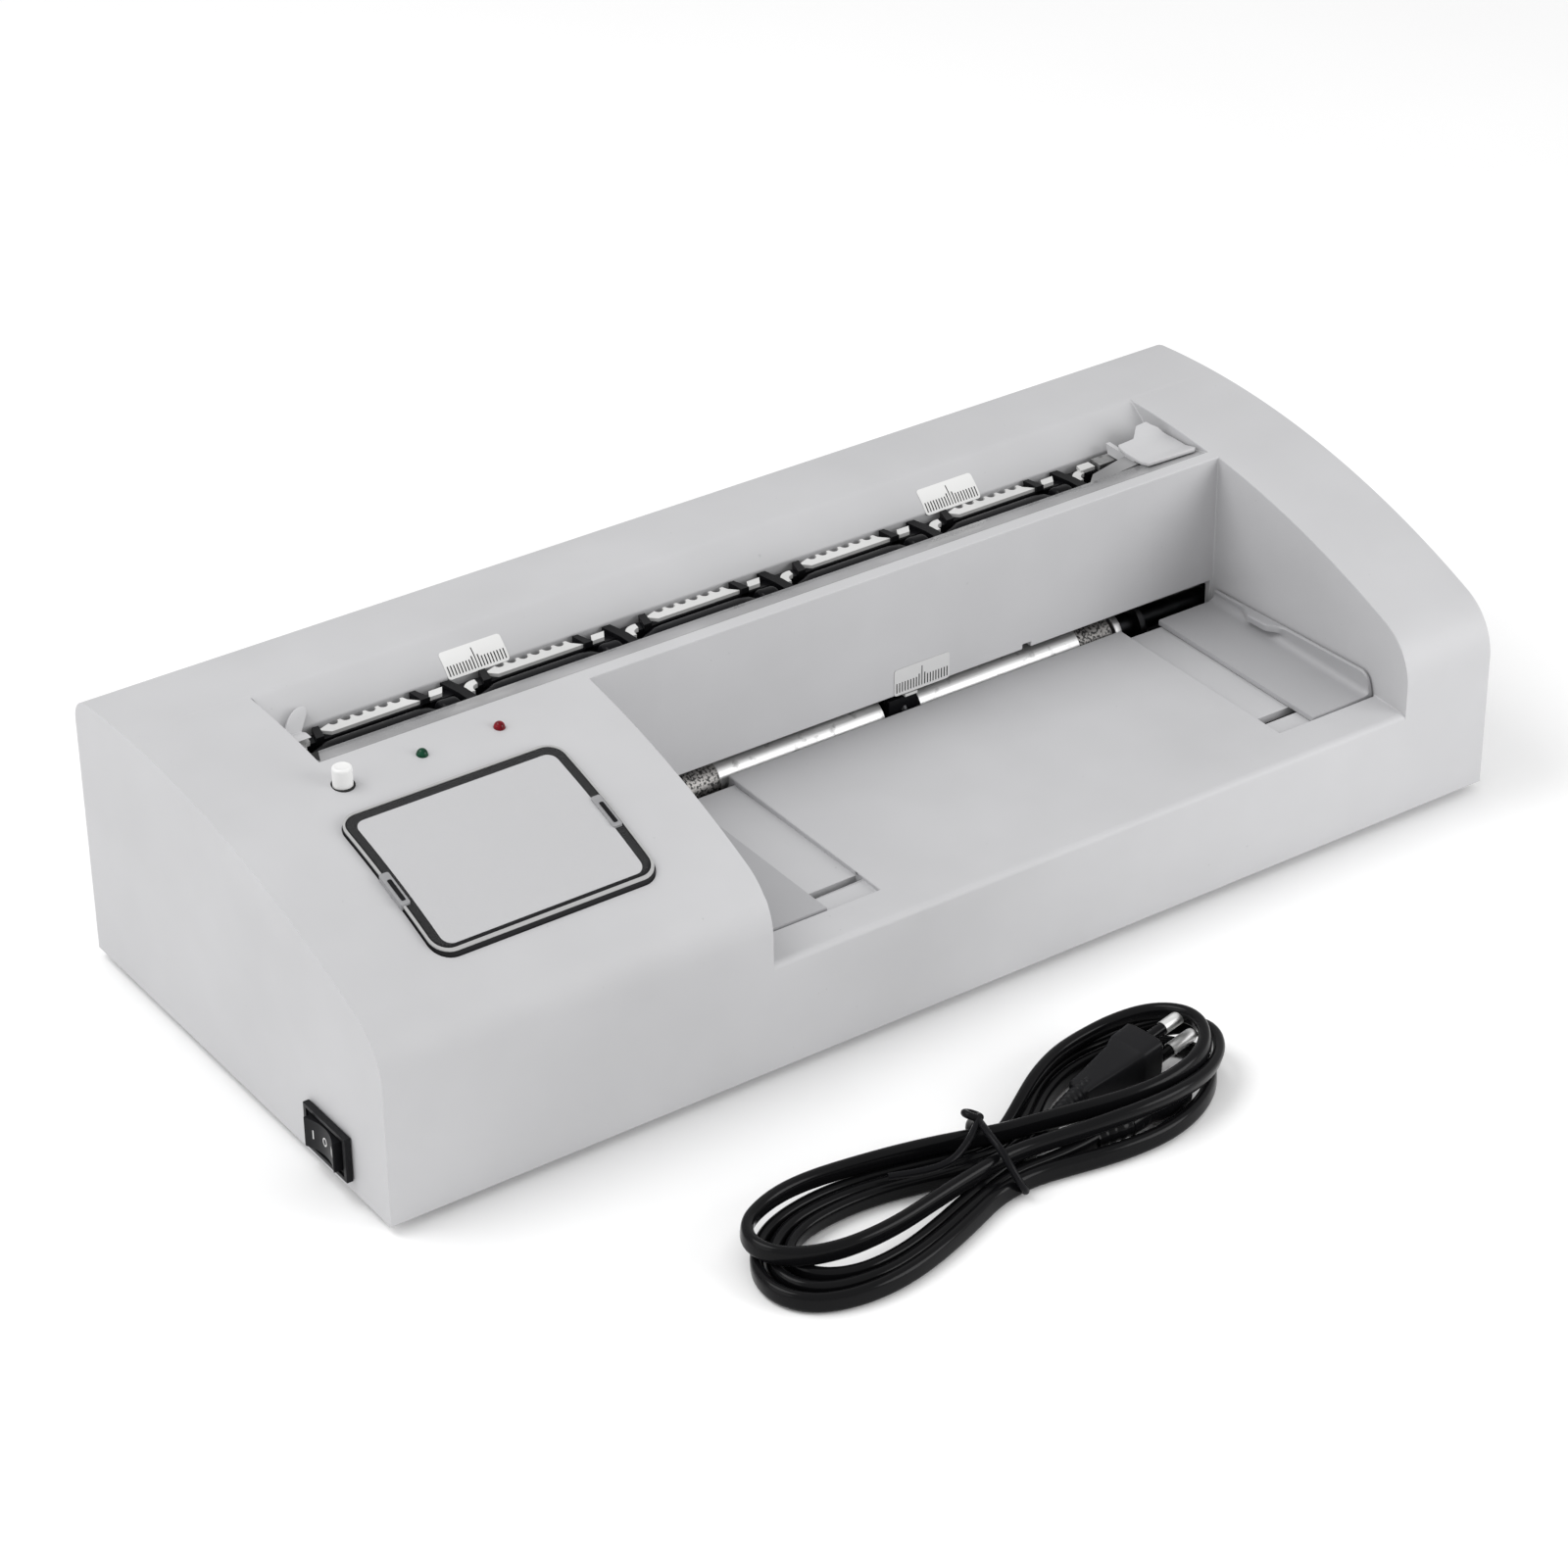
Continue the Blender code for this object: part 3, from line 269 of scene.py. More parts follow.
def light(name, place, size, power):
    """A round lamp that faces the housing, its size in metres and its power in watts."""
    lamp = placed(name, bpy.data.lights.new(name, "AREA"))
    lamp.data.shape = "DISK"
    lamp.data.size = size
    lamp.data.energy = power
    lamp.location = at(*place)
    aim = at(LENGTH / 2, DEPTH / 2, 40.0) - lamp.location
    lamp.rotation_euler = aim.to_track_quat("-Z", "Y").to_euler()


def stage():
    """The camera at the photograph's angle, a plain white floor and soft studio light."""
    camera = placed("camera", bpy.data.cameras.new("camera"))
    camera.data.lens = LENS
    camera.data.sensor_width = 36.0
    camera.location = at(*CAMERA_AT)
    aim = Vector((-math.sin(AZIMUTH) * math.cos(ELEVATION), math.cos(AZIMUTH) * math.cos(ELEVATION),
                  -math.sin(ELEVATION)))
    camera.rotation_euler = aim.to_track_quat("-Z", "Y").to_matrix().to_4x4().to_euler()
    camera.rotation_euler.rotate_axis("Z", ROLL)
    bpy.context.scene.camera = camera

    work = bmesh.new()
    bmesh.ops.create_grid(work, x_segments=2, y_segments=2, size=4.0)
    mesh = bpy.data.meshes.new("floor")
    work.to_mesh(mesh)
    work.free()
    floor = placed("floor", mesh)
    paper, nodes, links, principled = shader("studio_paper", (0.93, 0.93, 0.93), 0.85)
    fleck = noise_node(nodes, links, 9.0, 3.0)
    tone = ramp(nodes, links, fleck, [(0.3, (0.925, 0.925, 0.925)), (0.7, (0.935, 0.935, 0.935))])
    links.new(tone, principled.inputs["Base Color"])
    mesh.materials.append(paper)

    world = bpy.data.worlds.new("studio")
    world.use_nodes = True
    world.node_tree.nodes["Background"].inputs["Color"].default_value = (1.0, 1.0, 1.0, 1.0)
    world.node_tree.nodes["Background"].inputs["Strength"].default_value = 0.75
    bpy.context.scene.world = world
    bpy.context.scene.view_settings.view_transform = "Standard"
    bpy.context.scene.view_settings.look = "None"

    for row in LIGHTS:
        light(*row)


# ---- modelling helpers ----


def finished(work, name, degrees=40.0):
    """The mesh of work, smooth but for its sharp edges."""
    bmesh.ops.recalc_face_normals(work, faces=work.faces)
    mesh = bpy.data.meshes.new(name)
    work.to_mesh(mesh)
    work.free()
    mesh.shade_smooth()
    mesh.set_sharp_from_angle(angle=math.radians(degrees))
    return mesh


def piece(name, shape, slot, body="housing", replaces=None, finish=None, degrees=40.0):
    """A visible piece from a mesh or a bmesh in the frame's metres, which rides on a body.

    replaces is the CAD node that it stands for, if any.
    """
    mesh = finished(shape, name, degrees) if isinstance(shape, bmesh.types.BMesh) else shape
    made = placed(name, mesh)
    mesh.materials.clear()
    mesh.materials.append(finish or FINISHES[slot])
    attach(made, body)
    if replaces:
        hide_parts(replaces)
    return made


def skin(work, rings, winding=1):
    """The faces from each ring of vertices to the next, and over both ends.

    winding is 1 or -1, the order in which the end faces take their vertices.
    """
    for ring, other in zip(rings, rings[1:]):
        for i in range(len(ring)):
            j = (i + 1) % len(ring)
            work.faces.new((ring[i], ring[j], other[j], other[i]))
    work.faces.new(rings[0][::winding])
    work.faces.new(rings[-1][::-winding])


def layered(rings, cuts=(), place=None):
    """A closed shape through rings, each ((u, v) outline, w), sliced at the v values in cuts.

    place turns (u, v, w) into (x, y, z) in millimetres.
    """
    work = bmesh.new()
    skin(work, [[work.verts.new((u, v, w)) for u, v in outline] for outline, w in rings], -1)
    for v in cuts:
        everything = work.verts[:] + work.edges[:] + work.faces[:]
        bmesh.ops.bisect_plane(work, geom=everything, plane_co=(0, v, 0), plane_no=(0, 1, 0))
    for vert in work.verts:
        spot = place(*vert.co) if place else tuple(vert.co)
        vert.co = at(*spot)
    return work


def prism(outline, left, right):
    """A (y, z) outline from x = left to x = right."""
    return layered([(outline, left), (outline, right)], (), lambda y, z, x: (x, y, z))


def slab(outline, low, high):
    """An (x, y) outline from z = low to z = high."""
    return layered([(outline, low), (outline, high)])


def middle_of(edge):
    """The middle of an edge, in its mesh's own units."""
    return (edge.verts[0].co + edge.verts[1].co) / 2


def eased(work, radius, segments=3, degrees=30.0, keep=None):
    """The shape with its sharp edges rounded; keep says which edges, by their middle."""
    limit = math.radians(degrees)
    edges = [edge for edge in work.edges if len(edge.link_faces) == 2 and edge.calc_face_angle() > limit]
    if keep:
        edges = [edge for edge in edges if keep(middle_of(edge))]
    bmesh.ops.recalc_face_normals(work, faces=work.faces)
    bmesh.ops.bevel(work, geom=edges, offset=radius * MM, segments=segments, profile=0.5, affect="EDGES")
    return work


def plate(outline, low, high, radius=0.3, segments=2):
    """A slab with eased edges."""
    return eased(slab(outline, low, high), radius, segments)


def block(xs, ys, zs, radius=0.0, segments=3):
    """A block between two x, two y and two z values, with eased edges if radius is given."""
    outline = [(xs[0], ys[0]), (xs[1], ys[0]), (xs[1], ys[1]), (xs[0], ys[1])]
    return plate(outline, *zs, radius, segments) if radius else slab(outline, *zs)


AXES = {
    "X": lambda along, a, b: (along, a, b),
    "Y": lambda along, a, b: (a, along, b),
    "Z": lambda along, a, b: (a, b, along),
}


def lathe(profile, axis, centre, sides=48):
    """A turned shape: profile is a list of (distance along the axis, radius)."""
    order = AXES[axis]
    rings = []
    work = bmesh.new()
    for along, radius in profile:
        ring = []
        for i in range(sides):
            angle = 2 * math.pi * i / sides
            spot = order(along, radius * math.cos(angle), radius * math.sin(angle))
            ring.append(work.verts.new(at(*(spot[k] + centre[k] for k in range(3)))))
        rings.append(ring)
    skin(work, rings)
    return work


def step_round(start, end, radius, ease=0.4, steps=3):
    """The profile of a plain cylinder whose two rims are rounded."""
    out = []
    for i in range(steps + 1):
        angle = math.pi / 2 * i / steps
        out.append((start + ease * (1 - math.sin(angle)), radius - ease * (1 - math.cos(angle))))
    first = [(along, r) for along, r in reversed(out)]
    return first + [(start + end - along, r) for along, r in out]


def evaluated(made):
    """The object's mesh after its modifiers; the object goes."""
    graph = bpy.context.evaluated_depsgraph_get()
    mesh = bpy.data.meshes.new_from_object(made.evaluated_get(graph))
    bpy.data.objects.remove(made, do_unlink=True)
    return mesh


def carved(base, cuts, ease=0.0, keep=None, joins=()):
    """The mesh of base with the shapes in joins added and those in cuts taken away.

    Its sharp edges are eased; keep says which, by the middle of the edge in millimetres.
    """
    body = placed("helper", finished(base, "helper"))
    others = []
    for operation, shape in [("UNION", one) for one in joins] + [("DIFFERENCE", one) for one in cuts]:
        others.append(placed("helper", finished(shape, "helper")))
        step = body.modifiers.new("step", "BOOLEAN")
        step.operation = operation
        step.object = others[-1]
        step.solver = "EXACT"
    mesh = evaluated(body)
    for spent in others:
        bpy.data.objects.remove(spent, do_unlink=True)
    mesh.shade_smooth()
    mesh.set_sharp_from_angle(angle=math.radians(32.0))
    if not ease:
        return mesh
    work = bmesh.new()
    work.from_mesh(mesh)
    weight = work.edges.layers.float.new("bevel_weight_edge")
    for edge in work.edges:
        middle = (middle_of(edge) - SHELL_LOW) / MM
        if edge.calc_face_angle(0.0) > math.radians(35.0) and (keep is None or keep(middle)):
            edge[weight] = 1.0
    work.to_mesh(mesh)
    work.free()
    body = placed("helper", mesh)
    bevel = body.modifiers.new("ease", "BEVEL")
    bevel.width = ease * MM
    bevel.segments = 3
    bevel.limit_method = "WEIGHT"
    bevel.use_clamp_overlap = False
    bevel.harden_normals = True
    return evaluated(body)


def reopened(mesh):
    """The mesh as a bmesh again; the mesh goes."""
    work = bmesh.new()
    work.from_mesh(mesh)
    bpy.data.meshes.remove(mesh)
    return work


def merged(shapes):
    """Several shapes as one, without joining their skins."""
    work = bmesh.new()
    for shape in shapes:
        mesh = bpy.data.meshes.new("part")
        bmesh.ops.recalc_face_normals(shape, faces=shape.faces)
        shape.to_mesh(mesh)
        shape.free()
        work.from_mesh(mesh)
        bpy.data.meshes.remove(mesh)
    return work


def arc(centre, radius, start, end, steps):
    """Points on an arc, angles in degrees."""
    angles = [math.radians(start + (end - start) * i / steps) for i in range(steps + 1)]
    return [(centre[0] + radius * math.cos(a), centre[1] + radius * math.sin(a)) for a in angles]


def rounded_rectangle(left, right, front, back, radius, steps=8):
    """A closed outline with four round corners."""
    corners = [(right - radius, back - radius, 0.0), (left + radius, back - radius, 90.0),
               (left + radius, front + radius, 180.0), (right - radius, front + radius, 270.0)]
    outline = []
    for x, y, start in corners:
        outline += arc((x, y), radius, start, start + 90.0, steps)
    return outline


# ---- the housing ----

ROOF_RADIUS = 300.0
ROOF_CENTRE_Y = 130.0
ROOF_TOP = 85.0
FRONT_RADIUS = 19.0
BACK_RADIUS = 8.0
ABOVE = 120.0
END_RADIUS = 3.0
WALL = 2.5
GAP = 0.3

TRAY_LEFT = 122.0
TRAY_RIGHT = 348.5
TRAY_LEVEL = 34.4
TRAY_BACK = 89.0
PANEL_LEFT = 167.5
PANEL_RIGHT = 312.0
RECESS_FRONT = 14.0
RECESS_BACK = 85.0
RECESS_DEPTH = 1.5
FEED_TOP = 39.8
FEED_FRONT = 88.3
PEG_SLOT = (22.2, 25.5)
PEG_SLOT_LENGTH = 39.0

WELL_LEFT = 38.0
WELL_RIGHT = 347.5
WELL_FRONT = 93.0
WELL_BACK = 131.0
LIP_EDGE = (101.8, 79.9)
SLOT_CUT = 0.085
WELL_WALL_EDGE = (119.8, 75.5)
WELL_BOTTOM = 72.5
WALL_LENGTH = 15.2

LABEL = (28.2, 98.4, 16.4, 69.2)
LABEL_CORNER = 6.0
BUTTON_AT = (38.6, 81.6)
BUTTON_HOLE = 3.35
BUTTON_PROUD = 5.7
LED_Y = 82.3
LEDS = (("led_green", 63.8, "green_lens"), ("led_red", 88.4, "red_lens"))
LED_HOLE = 1.7
LED_RADIUS = 1.6
SWITCH_Y = 29.2
SWITCH_Z = 11.0
KEY_AXIS_X = -17.0
KEY_RADIUS = 14.8
INLET_X = 49.0
OUTLET = (68.0, 345.0)


def roof_z(y):
    """The roof's height at a depth."""
    return ROOF_TOP - ROOF_RADIUS + math.sqrt(ROOF_RADIUS ** 2 - (y - ROOF_CENTRE_Y) ** 2)


def on_roof(x, y, height):
    """A point at a height over the roof."""
    return (x, y, roof_z(y) + height)


def side_outline(inset, bottom):
    """The housing's side profile as (y, z), inset all round and open downwards to bottom."""
    roof = (ROOF_CENTRE_Y, ROOF_TOP - ROOF_RADIUS)
    front_y = FRONT_RADIUS
    back_y = DEPTH - BACK_RADIUS
    front_z = roof[1] + math.sqrt((ROOF_RADIUS - FRONT_RADIUS) ** 2 - (front_y - roof[0]) ** 2)
    back_z = roof[1] + math.sqrt((ROOF_RADIUS - BACK_RADIUS) ** 2 - (back_y - roof[0]) ** 2)
    front_turn = math.degrees(math.atan2(front_z - roof[1], front_y - roof[0]))
    back_turn = math.degrees(math.atan2(back_z - roof[1], back_y - roof[0]))
    outline = [(inset, bottom)]
    outline += arc((front_y, front_z), FRONT_RADIUS - inset, 180.0, front_turn, 22)
    outline += arc(roof, ROOF_RADIUS - inset, front_turn, back_turn, 64)[1:-1]
    outline += arc((back_y, back_z), BACK_RADIUS - inset, back_turn, 0.0, 14)
    outline += [(DEPTH - inset, bottom)]
    return outline


def wall_point(share, lift=0.0):
    """A point on the well's back wall, from its lower edge at 0 to the roof at 1, and lifted off it."""
    def spot(t):
        turn = min(max(t, 0.0), 1.0) * math.pi / 2
        rise = math.sin(turn) ** 0.9
        run = 1 - max(math.cos(turn), 0.0) ** 0.9
        return Vector((WELL_WALL_EDGE[0] + (WELL_BACK - WELL_WALL_EDGE[0]) * (0.35 * rise + 0.65 * run),
                       WELL_WALL_EDGE[1] + (ROOF_TOP - WELL_WALL_EDGE[1]) * (0.75 * t + 0.25 * rise)))
    here = spot(share)
    slope = (spot(share + 0.02) - spot(max(share - 0.02, 0.0))).normalized()
    return here + Vector((-slope.y, slope.x)) * lift


def well_outline(grow, top, bottom):
    """The well's cross section as (y, z), or with grow the same section with its walls."""
    front = WELL_FRONT - grow
    lip_y, lip_z = LIP_EDGE
    outline = [(front, top), (front, roof_z(WELL_FRONT) - 0.7 - grow * 1.1)]
    wall = [wall_point(SLOT_CUT + (1.0 - SLOT_CUT) * i / 14) for i in range(15)]
    outline += [(lip_y - grow, lip_z - grow * 1.1), (lip_y - grow, bottom), (wall[0].x + grow, bottom)]
    outline += [(spot.x + grow, spot.y - 0.3 * grow) for spot in wall]
    outline += [(WELL_BACK + grow, top)]
    return outline


def tray_outline():
    """The tray's cut as (y, z): a rounded front lip, the level floor and the upright back wall."""
    outline = [(-5.0, TRAY_LEVEL - 2.0)]
    outline += arc((2.0, TRAY_LEVEL - 2.0), 2.0, 180.0, 90.0, 8)
    return outline + [(TRAY_BACK, TRAY_LEVEL), (TRAY_BACK, ABOVE), (-5.0, ABOVE)]


def over_label(insets, front=0.0):
    """A sheet that follows the roof at the label: insets is a list of (inset, height over the roof).

    front moves its front edge back by that much.
    """
    left, right, low, high = LABEL
    rings = [(rounded_rectangle(left + inset, right - inset, low + inset + front, high - inset,
                                max(LABEL_CORNER - inset, 3.0)), height) for inset, height in insets]
    cuts = [low + 2.0 * i for i in range(1, 27)]
    return layered(rings, cuts, on_roof)


def rod(axis, centre, radius, length, sides=40):
    """A plain cylinder about its centre."""
    return lathe([(-length / 2, radius), (length / 2, radius)], axis, centre, sides)


def at_switch(xs, half_long, half_tall, radius=0.0, segments=3):
    """A block between two x values, centred on the mains switch."""
    return block(xs, (SWITCH_Y - half_long, SWITCH_Y + half_long),
                 (SWITCH_Z - half_tall, SWITCH_Z + half_tall), radius, segments)


def housing():
    """The moulded housing: one shell with its tray, its well, its console and every opening."""
    shell = prism(side_outline(0.0, 0.0), 0.0, LENGTH)
    ends = (at(0, 0, 0).x, at(LENGTH, 0, 0).x)
    low = at(0, 0, 0.5).z

    def rim(middle):
        return middle.z > low and min(abs(middle.x - end) for end in ends) < 1e-5

    shell = eased(shell, END_RADIUS, 8, 1.0, rim)
    under = TRAY_LEVEL - RECESS_DEPTH - WALL
    tray_block = [(-5.0, under), (TRAY_BACK + WALL, under), (TRAY_BACK + WALL, ABOVE), (-5.0, ABOVE)]
    hollow = carved(prism(side_outline(WALL, -5.0), WALL, LENGTH - WALL), [
        prism(tray_block, TRAY_LEFT - WALL, TRAY_RIGHT + WALL),
        prism(well_outline(WALL, 100.0, WELL_BOTTOM), WELL_LEFT - WALL, WELL_RIGHT + WALL)])
    floor = (TRAY_LEVEL - RECESS_DEPTH, TRAY_LEVEL + 2.0)
    mouth = (25.0, FEED_TOP)
    through = (DEPTH - 8, DEPTH + 8)
    away = [
        reopened(hollow),
        prism(tray_outline(), TRAY_LEFT, TRAY_RIGHT),
        block((TRAY_LEFT, PANEL_LEFT), (RECESS_FRONT, TRAY_BACK), floor),
        block((PANEL_RIGHT, TRAY_RIGHT), (RECESS_FRONT, TRAY_BACK), floor),
        block((TRAY_LEFT + 2, TRAY_RIGHT - 1), (FEED_FRONT, TRAY_BACK + 5), mouth),
        block((TRAY_LEFT + 2, PANEL_LEFT), (RECESS_BACK, TRAY_BACK + 5), mouth),
        block((PANEL_RIGHT, TRAY_RIGHT - 1), (RECESS_BACK, TRAY_BACK + 5), mouth),
        block((PANEL_LEFT - PEG_SLOT_LENGTH, PANEL_LEFT), PEG_SLOT, (20.0, 40.0)),
        block((PANEL_RIGHT, PANEL_RIGHT + PEG_SLOT_LENGTH - 5.0), PEG_SLOT, (20.0, 40.0)),
        prism(well_outline(0.0, 100.0, 60.0), WELL_LEFT, WELL_RIGHT),
        rod("Z", (*BUTTON_AT, ROOF_TOP), BUTTON_HOLE, 30.0),
        *(rod("Z", (x, LED_Y, ROOF_TOP), LED_HOLE, 30.0, 32) for _, x, _ in LEDS),
        over_label([(0.0, -1.2), (0.0, 6.0)]),
        at_switch((-5, 10), 9.4, 6.0),
        block(OUTLET, through, (9.0, 27.0)),
        block((INLET_X - 11.3, INLET_X + 11.3), through, (9.7, 25.3)),
        block((275.0, 278.0), (TRAY_BACK - 2.0, TRAY_BACK + 3.2), (FEED_TOP - 0.5, FEED_TOP + 1.6)),
    ]

    def worn(middle):
        """Edges of the well and the tray, clear of the lip's round ends."""
        inside = 1.0 < middle.x < LENGTH - 1.0 and 4.0 < middle.y < DEPTH - 4.0 and middle.z > 32.0
        label = LABEL[0] - 1 < middle.x < LABEL[1] + 1 and LABEL[2] - 1 < middle.y < LED_Y + 4.0
        return inside and not label and middle.x > WELL_LEFT - 0.5

    piece("housing_shell", carved(shell, away, 0.45, worn), "housing_plastic", replaces="top_housing")


# ---- the console ----


def console():
    """The label under its clear cover, the push button and the two lamps."""
    border = over_label([(0.35, -1.1), (0.35, 1.0), (0.6, 1.25)])
    piece("label_border", border, "black_plastic", finish=BORDER)
    # The cover's edge ring, light grey over the black border: a painted sheen.
    rim = carved(over_label([(0.3, 1.0), (0.3, 1.5)], 0.3), [over_label([(1.0, 0.0), (1.0, 3.0)], 0.6)])
    piece("label_rim", rim, "clear_acrylic", finish=RIM_SHEEN)
    face = over_label([(3.9, 1.26), (3.9, 1.36)], -1.0)
    piece("label_card_face", face, "label_card", replaces="label_card")
    cover = over_label([(1.5, 1.42), (1.5, 1.54)], 1.0)
    piece("label_window", cover, "clear_acrylic", replaces="label_cover")
    for side, x in (("left", LABEL[0] + 1.2), ("right", LABEL[1] - 2.8)):
        edge = rounded_rectangle(x - 1.5, x + 1.5, 34.4, 45.8, 0.6)
        clip = eased(layered([(edge, 0.2), (edge, 1.85)], (), on_roof), 0.25, 2)
        piece(f"label_clip_{side}", clip, "clear_acrylic", finish=CLIP)
        core = rounded_rectangle(x - 0.5, x + 0.8, 35.6, 43.2, 0.4)
        piece(f"label_clip_core_{side}", layered([(core, 1.86), (core, 1.94)], (), on_roof), "black_plastic")
    x, y = BUTTON_AT
    top = roof_z(y) + BUTTON_PROUD
    profile = [(64.0, 2.85), (top - 0.8, 2.85)]
    profile += [(top - 0.8 + 0.8 * math.sin(turn), 2.05 + 0.8 * math.cos(turn))
                for turn in (0.4, 0.8, 1.2, 1.57)]
    profile += [(top - 0.12, 1.9), (top - 0.2, 0.6)]
    piece("button_cap", lathe(profile, "Z", (x, y, 0.0)), "white_plastic", "button", "start_button")
    # A dark ring in the gap round the button cap: painted shadow in the hole.
    ring = lathe([(-0.9, 3.55), (0.02, 3.35), (0.02, 3.1), (-0.9, 3.1)], "Z", (x, y, roof_z(y)))
    piece("button_hole_shadow", ring, "black_plastic", finish=SHADOW)
    dome = [(-9.0, LED_RADIUS), (0.2, LED_RADIUS)]
    for turn in (0.25, 0.5, 0.75, 1.0, 1.25, 1.45):
        dome.append((0.2 + LED_RADIUS * math.sin(turn), LED_RADIUS * math.cos(turn)))
    for name, led_x, slot in LEDS:
        shape = lathe(dome, "Z", (led_x, LED_Y, roof_z(LED_Y)), 32)
        piece(name + "_dome", shape, slot, replaces=name)


def rocker_switch():
    """The bezel with its stepped frame, and the hollow-faced rocker with its three marks."""
    bezel = carved(at_switch((-2.3, -0.3), 10.9, 7.0, 0.7, 4),
                   [at_switch((-5.0, 6.0), 8.6, 5.0), at_switch((-5.0, -1.5), 9.4, 5.7)], 0.2)
    piece("switch_bezel", bezel, "black_plastic", replaces="rocker_bezel")
    tube = carved(at_switch((-1.2, 18.0), 9.1, 5.7), [at_switch((-5.0, 6.0), 8.6, 5.0)])
    piece("switch_body", tube, "black_plastic")
    face = arc((KEY_AXIS_X, SWITCH_Y), KEY_RADIUS, -30.0, 30.0, 20)
    outline = face + [(-4.0, SWITCH_Y + 7.6), (2.0, SWITCH_Y + 7.6), (4.2, SWITCH_Y + 3.0)]
    outline += [(4.2, SWITCH_Y - 3.0), (2.0, SWITCH_Y - 7.6), (-4.0, SWITCH_Y - 7.6)]
    key = plate(outline, SWITCH_Z - 4.6, SWITCH_Z + 4.6, 0.35, 3)
    piece("rocker_key", key, "black_plastic", "power_rocker", "rocker")

    def on_key(along, up, proud):
        angle = along / KEY_RADIUS
        reach = KEY_RADIUS - proud
        return (KEY_AXIS_X + reach * math.cos(angle), SWITCH_Y + reach * math.sin(angle), SWITCH_Z + up)

    def bar(middle):
        outline = rounded_rectangle(middle - 0.17, middle + 0.17, -1.4, 1.4, 0.12, 3)
        return layered([(outline, -0.1), (outline, 0.05)], (), on_key)

    outer = [(u, v * 1.35) for u, v in arc((0.0, 0.0), 1.0, 0.0, 360.0, 28)[:-1]]
    inner = [(u, v * 1.5) for u, v in arc((0.0, 0.0), 0.7, 0.0, 360.0, 28)[:-1]]
    hole = layered([(inner, -0.4), (inner, 0.4)], (), on_key)
    ring = carved(layered([(outer, -0.1), (outer, 0.05)], (), on_key), [hole])
    marks = [bar(4.9), reopened(ring), bar(-4.5), bar(-5.5)]
    piece("rocker_marks", merged(marks), "white_plastic", "power_rocker")


# ---- rulers ----

RULER_WIDTH = 20.2
RULER_HEIGHT = 8.8


def ruler(name, place, cuts=(), finish=None):
    """A white sticker with a long centre line and nine short marks on each side."""
    edge = rounded_rectangle(0.0, RULER_WIDTH, 0.0, RULER_HEIGHT, 1.0, 5)
    piece(name, layered([(edge, 0.05), (edge, 0.17)], cuts, place), "white_plastic", finish=finish)
    marks = []
    for i in range(-9, 10):
        share = {0: 0.84, 1: 0.56}.get(abs(i), 0.47)
        top = share * RULER_HEIGHT
        middle = RULER_WIDTH / 2 + i * 1.02
        half = 0.15 if i == 0 else 0.18
        line = [(middle - half, 0.9), (middle + half, 0.9), (middle + half, top), (middle - half, top)]
        marks.append(layered([(line, 0.15), (line, 0.2)], cuts, place))
    piece(name + "_marks", merged(marks), "black_plastic", finish=BORDER)


def rulers():
    """Two stickers on the well's back wall, and one on the tray's back wall."""
    def on_wall(left):
        def place(x, along, proud):
            spot = wall_point((along + 0.3) / WALL_LENGTH, proud)
            return (left + x, spot.x, spot.y)
        return place

    ruler("ruler_left", on_wall(95.0), range(1, 9))
    ruler("ruler_right", on_wall(261.8), range(1, 9))
    ruler("ruler_tray", lambda x, z, proud: (227.2 + x, TRAY_BACK - proud, FEED_TOP + z), (), STICKER_GREY)


# ---- the well ----

CUTTER_PITCH = 54.0
CUTTER_XS = [41.0 + CUTTER_PITCH * i for i in range(6)]
SLITTER_RISE = math.sqrt(17.0 ** 2 - 3.5 ** 2)
SLITTER_FRONT = (104.5, 45.0 + SLITTER_RISE)
SLITTER_BACK = (121.5, 45.0 + SLITTER_RISE)
SHAFT_RADIUS = 3.5
DISC_WIDTH = 2.0
# How far along x each disc of a pair lies beside the other.
BESIDE = 2.3
BAR_AXIS = (108.0, 72.3)


def arbor(name, body, axis, span, discs, radius, node, hub=0.0):
    """A shaft with sharp discs that start at each x in discs, between hubs if hub is their radius."""
    shaft = SHAFT_RADIUS
    profile = [(span[0], shaft - 0.4), (span[0] + 0.4, shaft)]
    for start in discs:
        end = start + DISC_WIDTH
        if hub:
            profile += [(start - 5.5, shaft), (start - 5.3, hub), (start - 0.2, hub)]
        profile += [(start - 0.1, shaft + 0.5), (start, radius - 0.5)]
        profile += [(start + 0.8, radius), (end - 0.4, radius)]
        profile += [(end, radius - 0.6), (end + 0.1, shaft + 0.5)]
        if hub:
            profile += [(end + 0.2, hub), (end + 5.3, hub), (end + 5.5, shaft)]
    profile += [(span[1] - 0.4, shaft), (span[1], shaft - 0.4)]
    piece(name, lathe(profile, "X", (0.0, *axis), 40), "blackened_steel", body, node, degrees=25.0)


def comb(left, right):
    """A stripper strip whose back edge has teeth between round gullets, with slanted ends."""
    outline = [(left + 2.2, 114.8), (right + 0.8, 114.8), (right - 2.0, 117.6)]
    count = int((right - left - 4.0) / 4.0)
    for i in range(count):
        x = right - 2.6 - 4.0 * i
        outline += [(x, 119.4), (x - 0.9, 119.4)]
        outline += arc((x - 2.4, 119.1), 1.45, 0.0, -180.0, 8)
    outline.append((left - 0.6, 117.6))
    return plate(outline, 74.9, 76.0, 0.12)


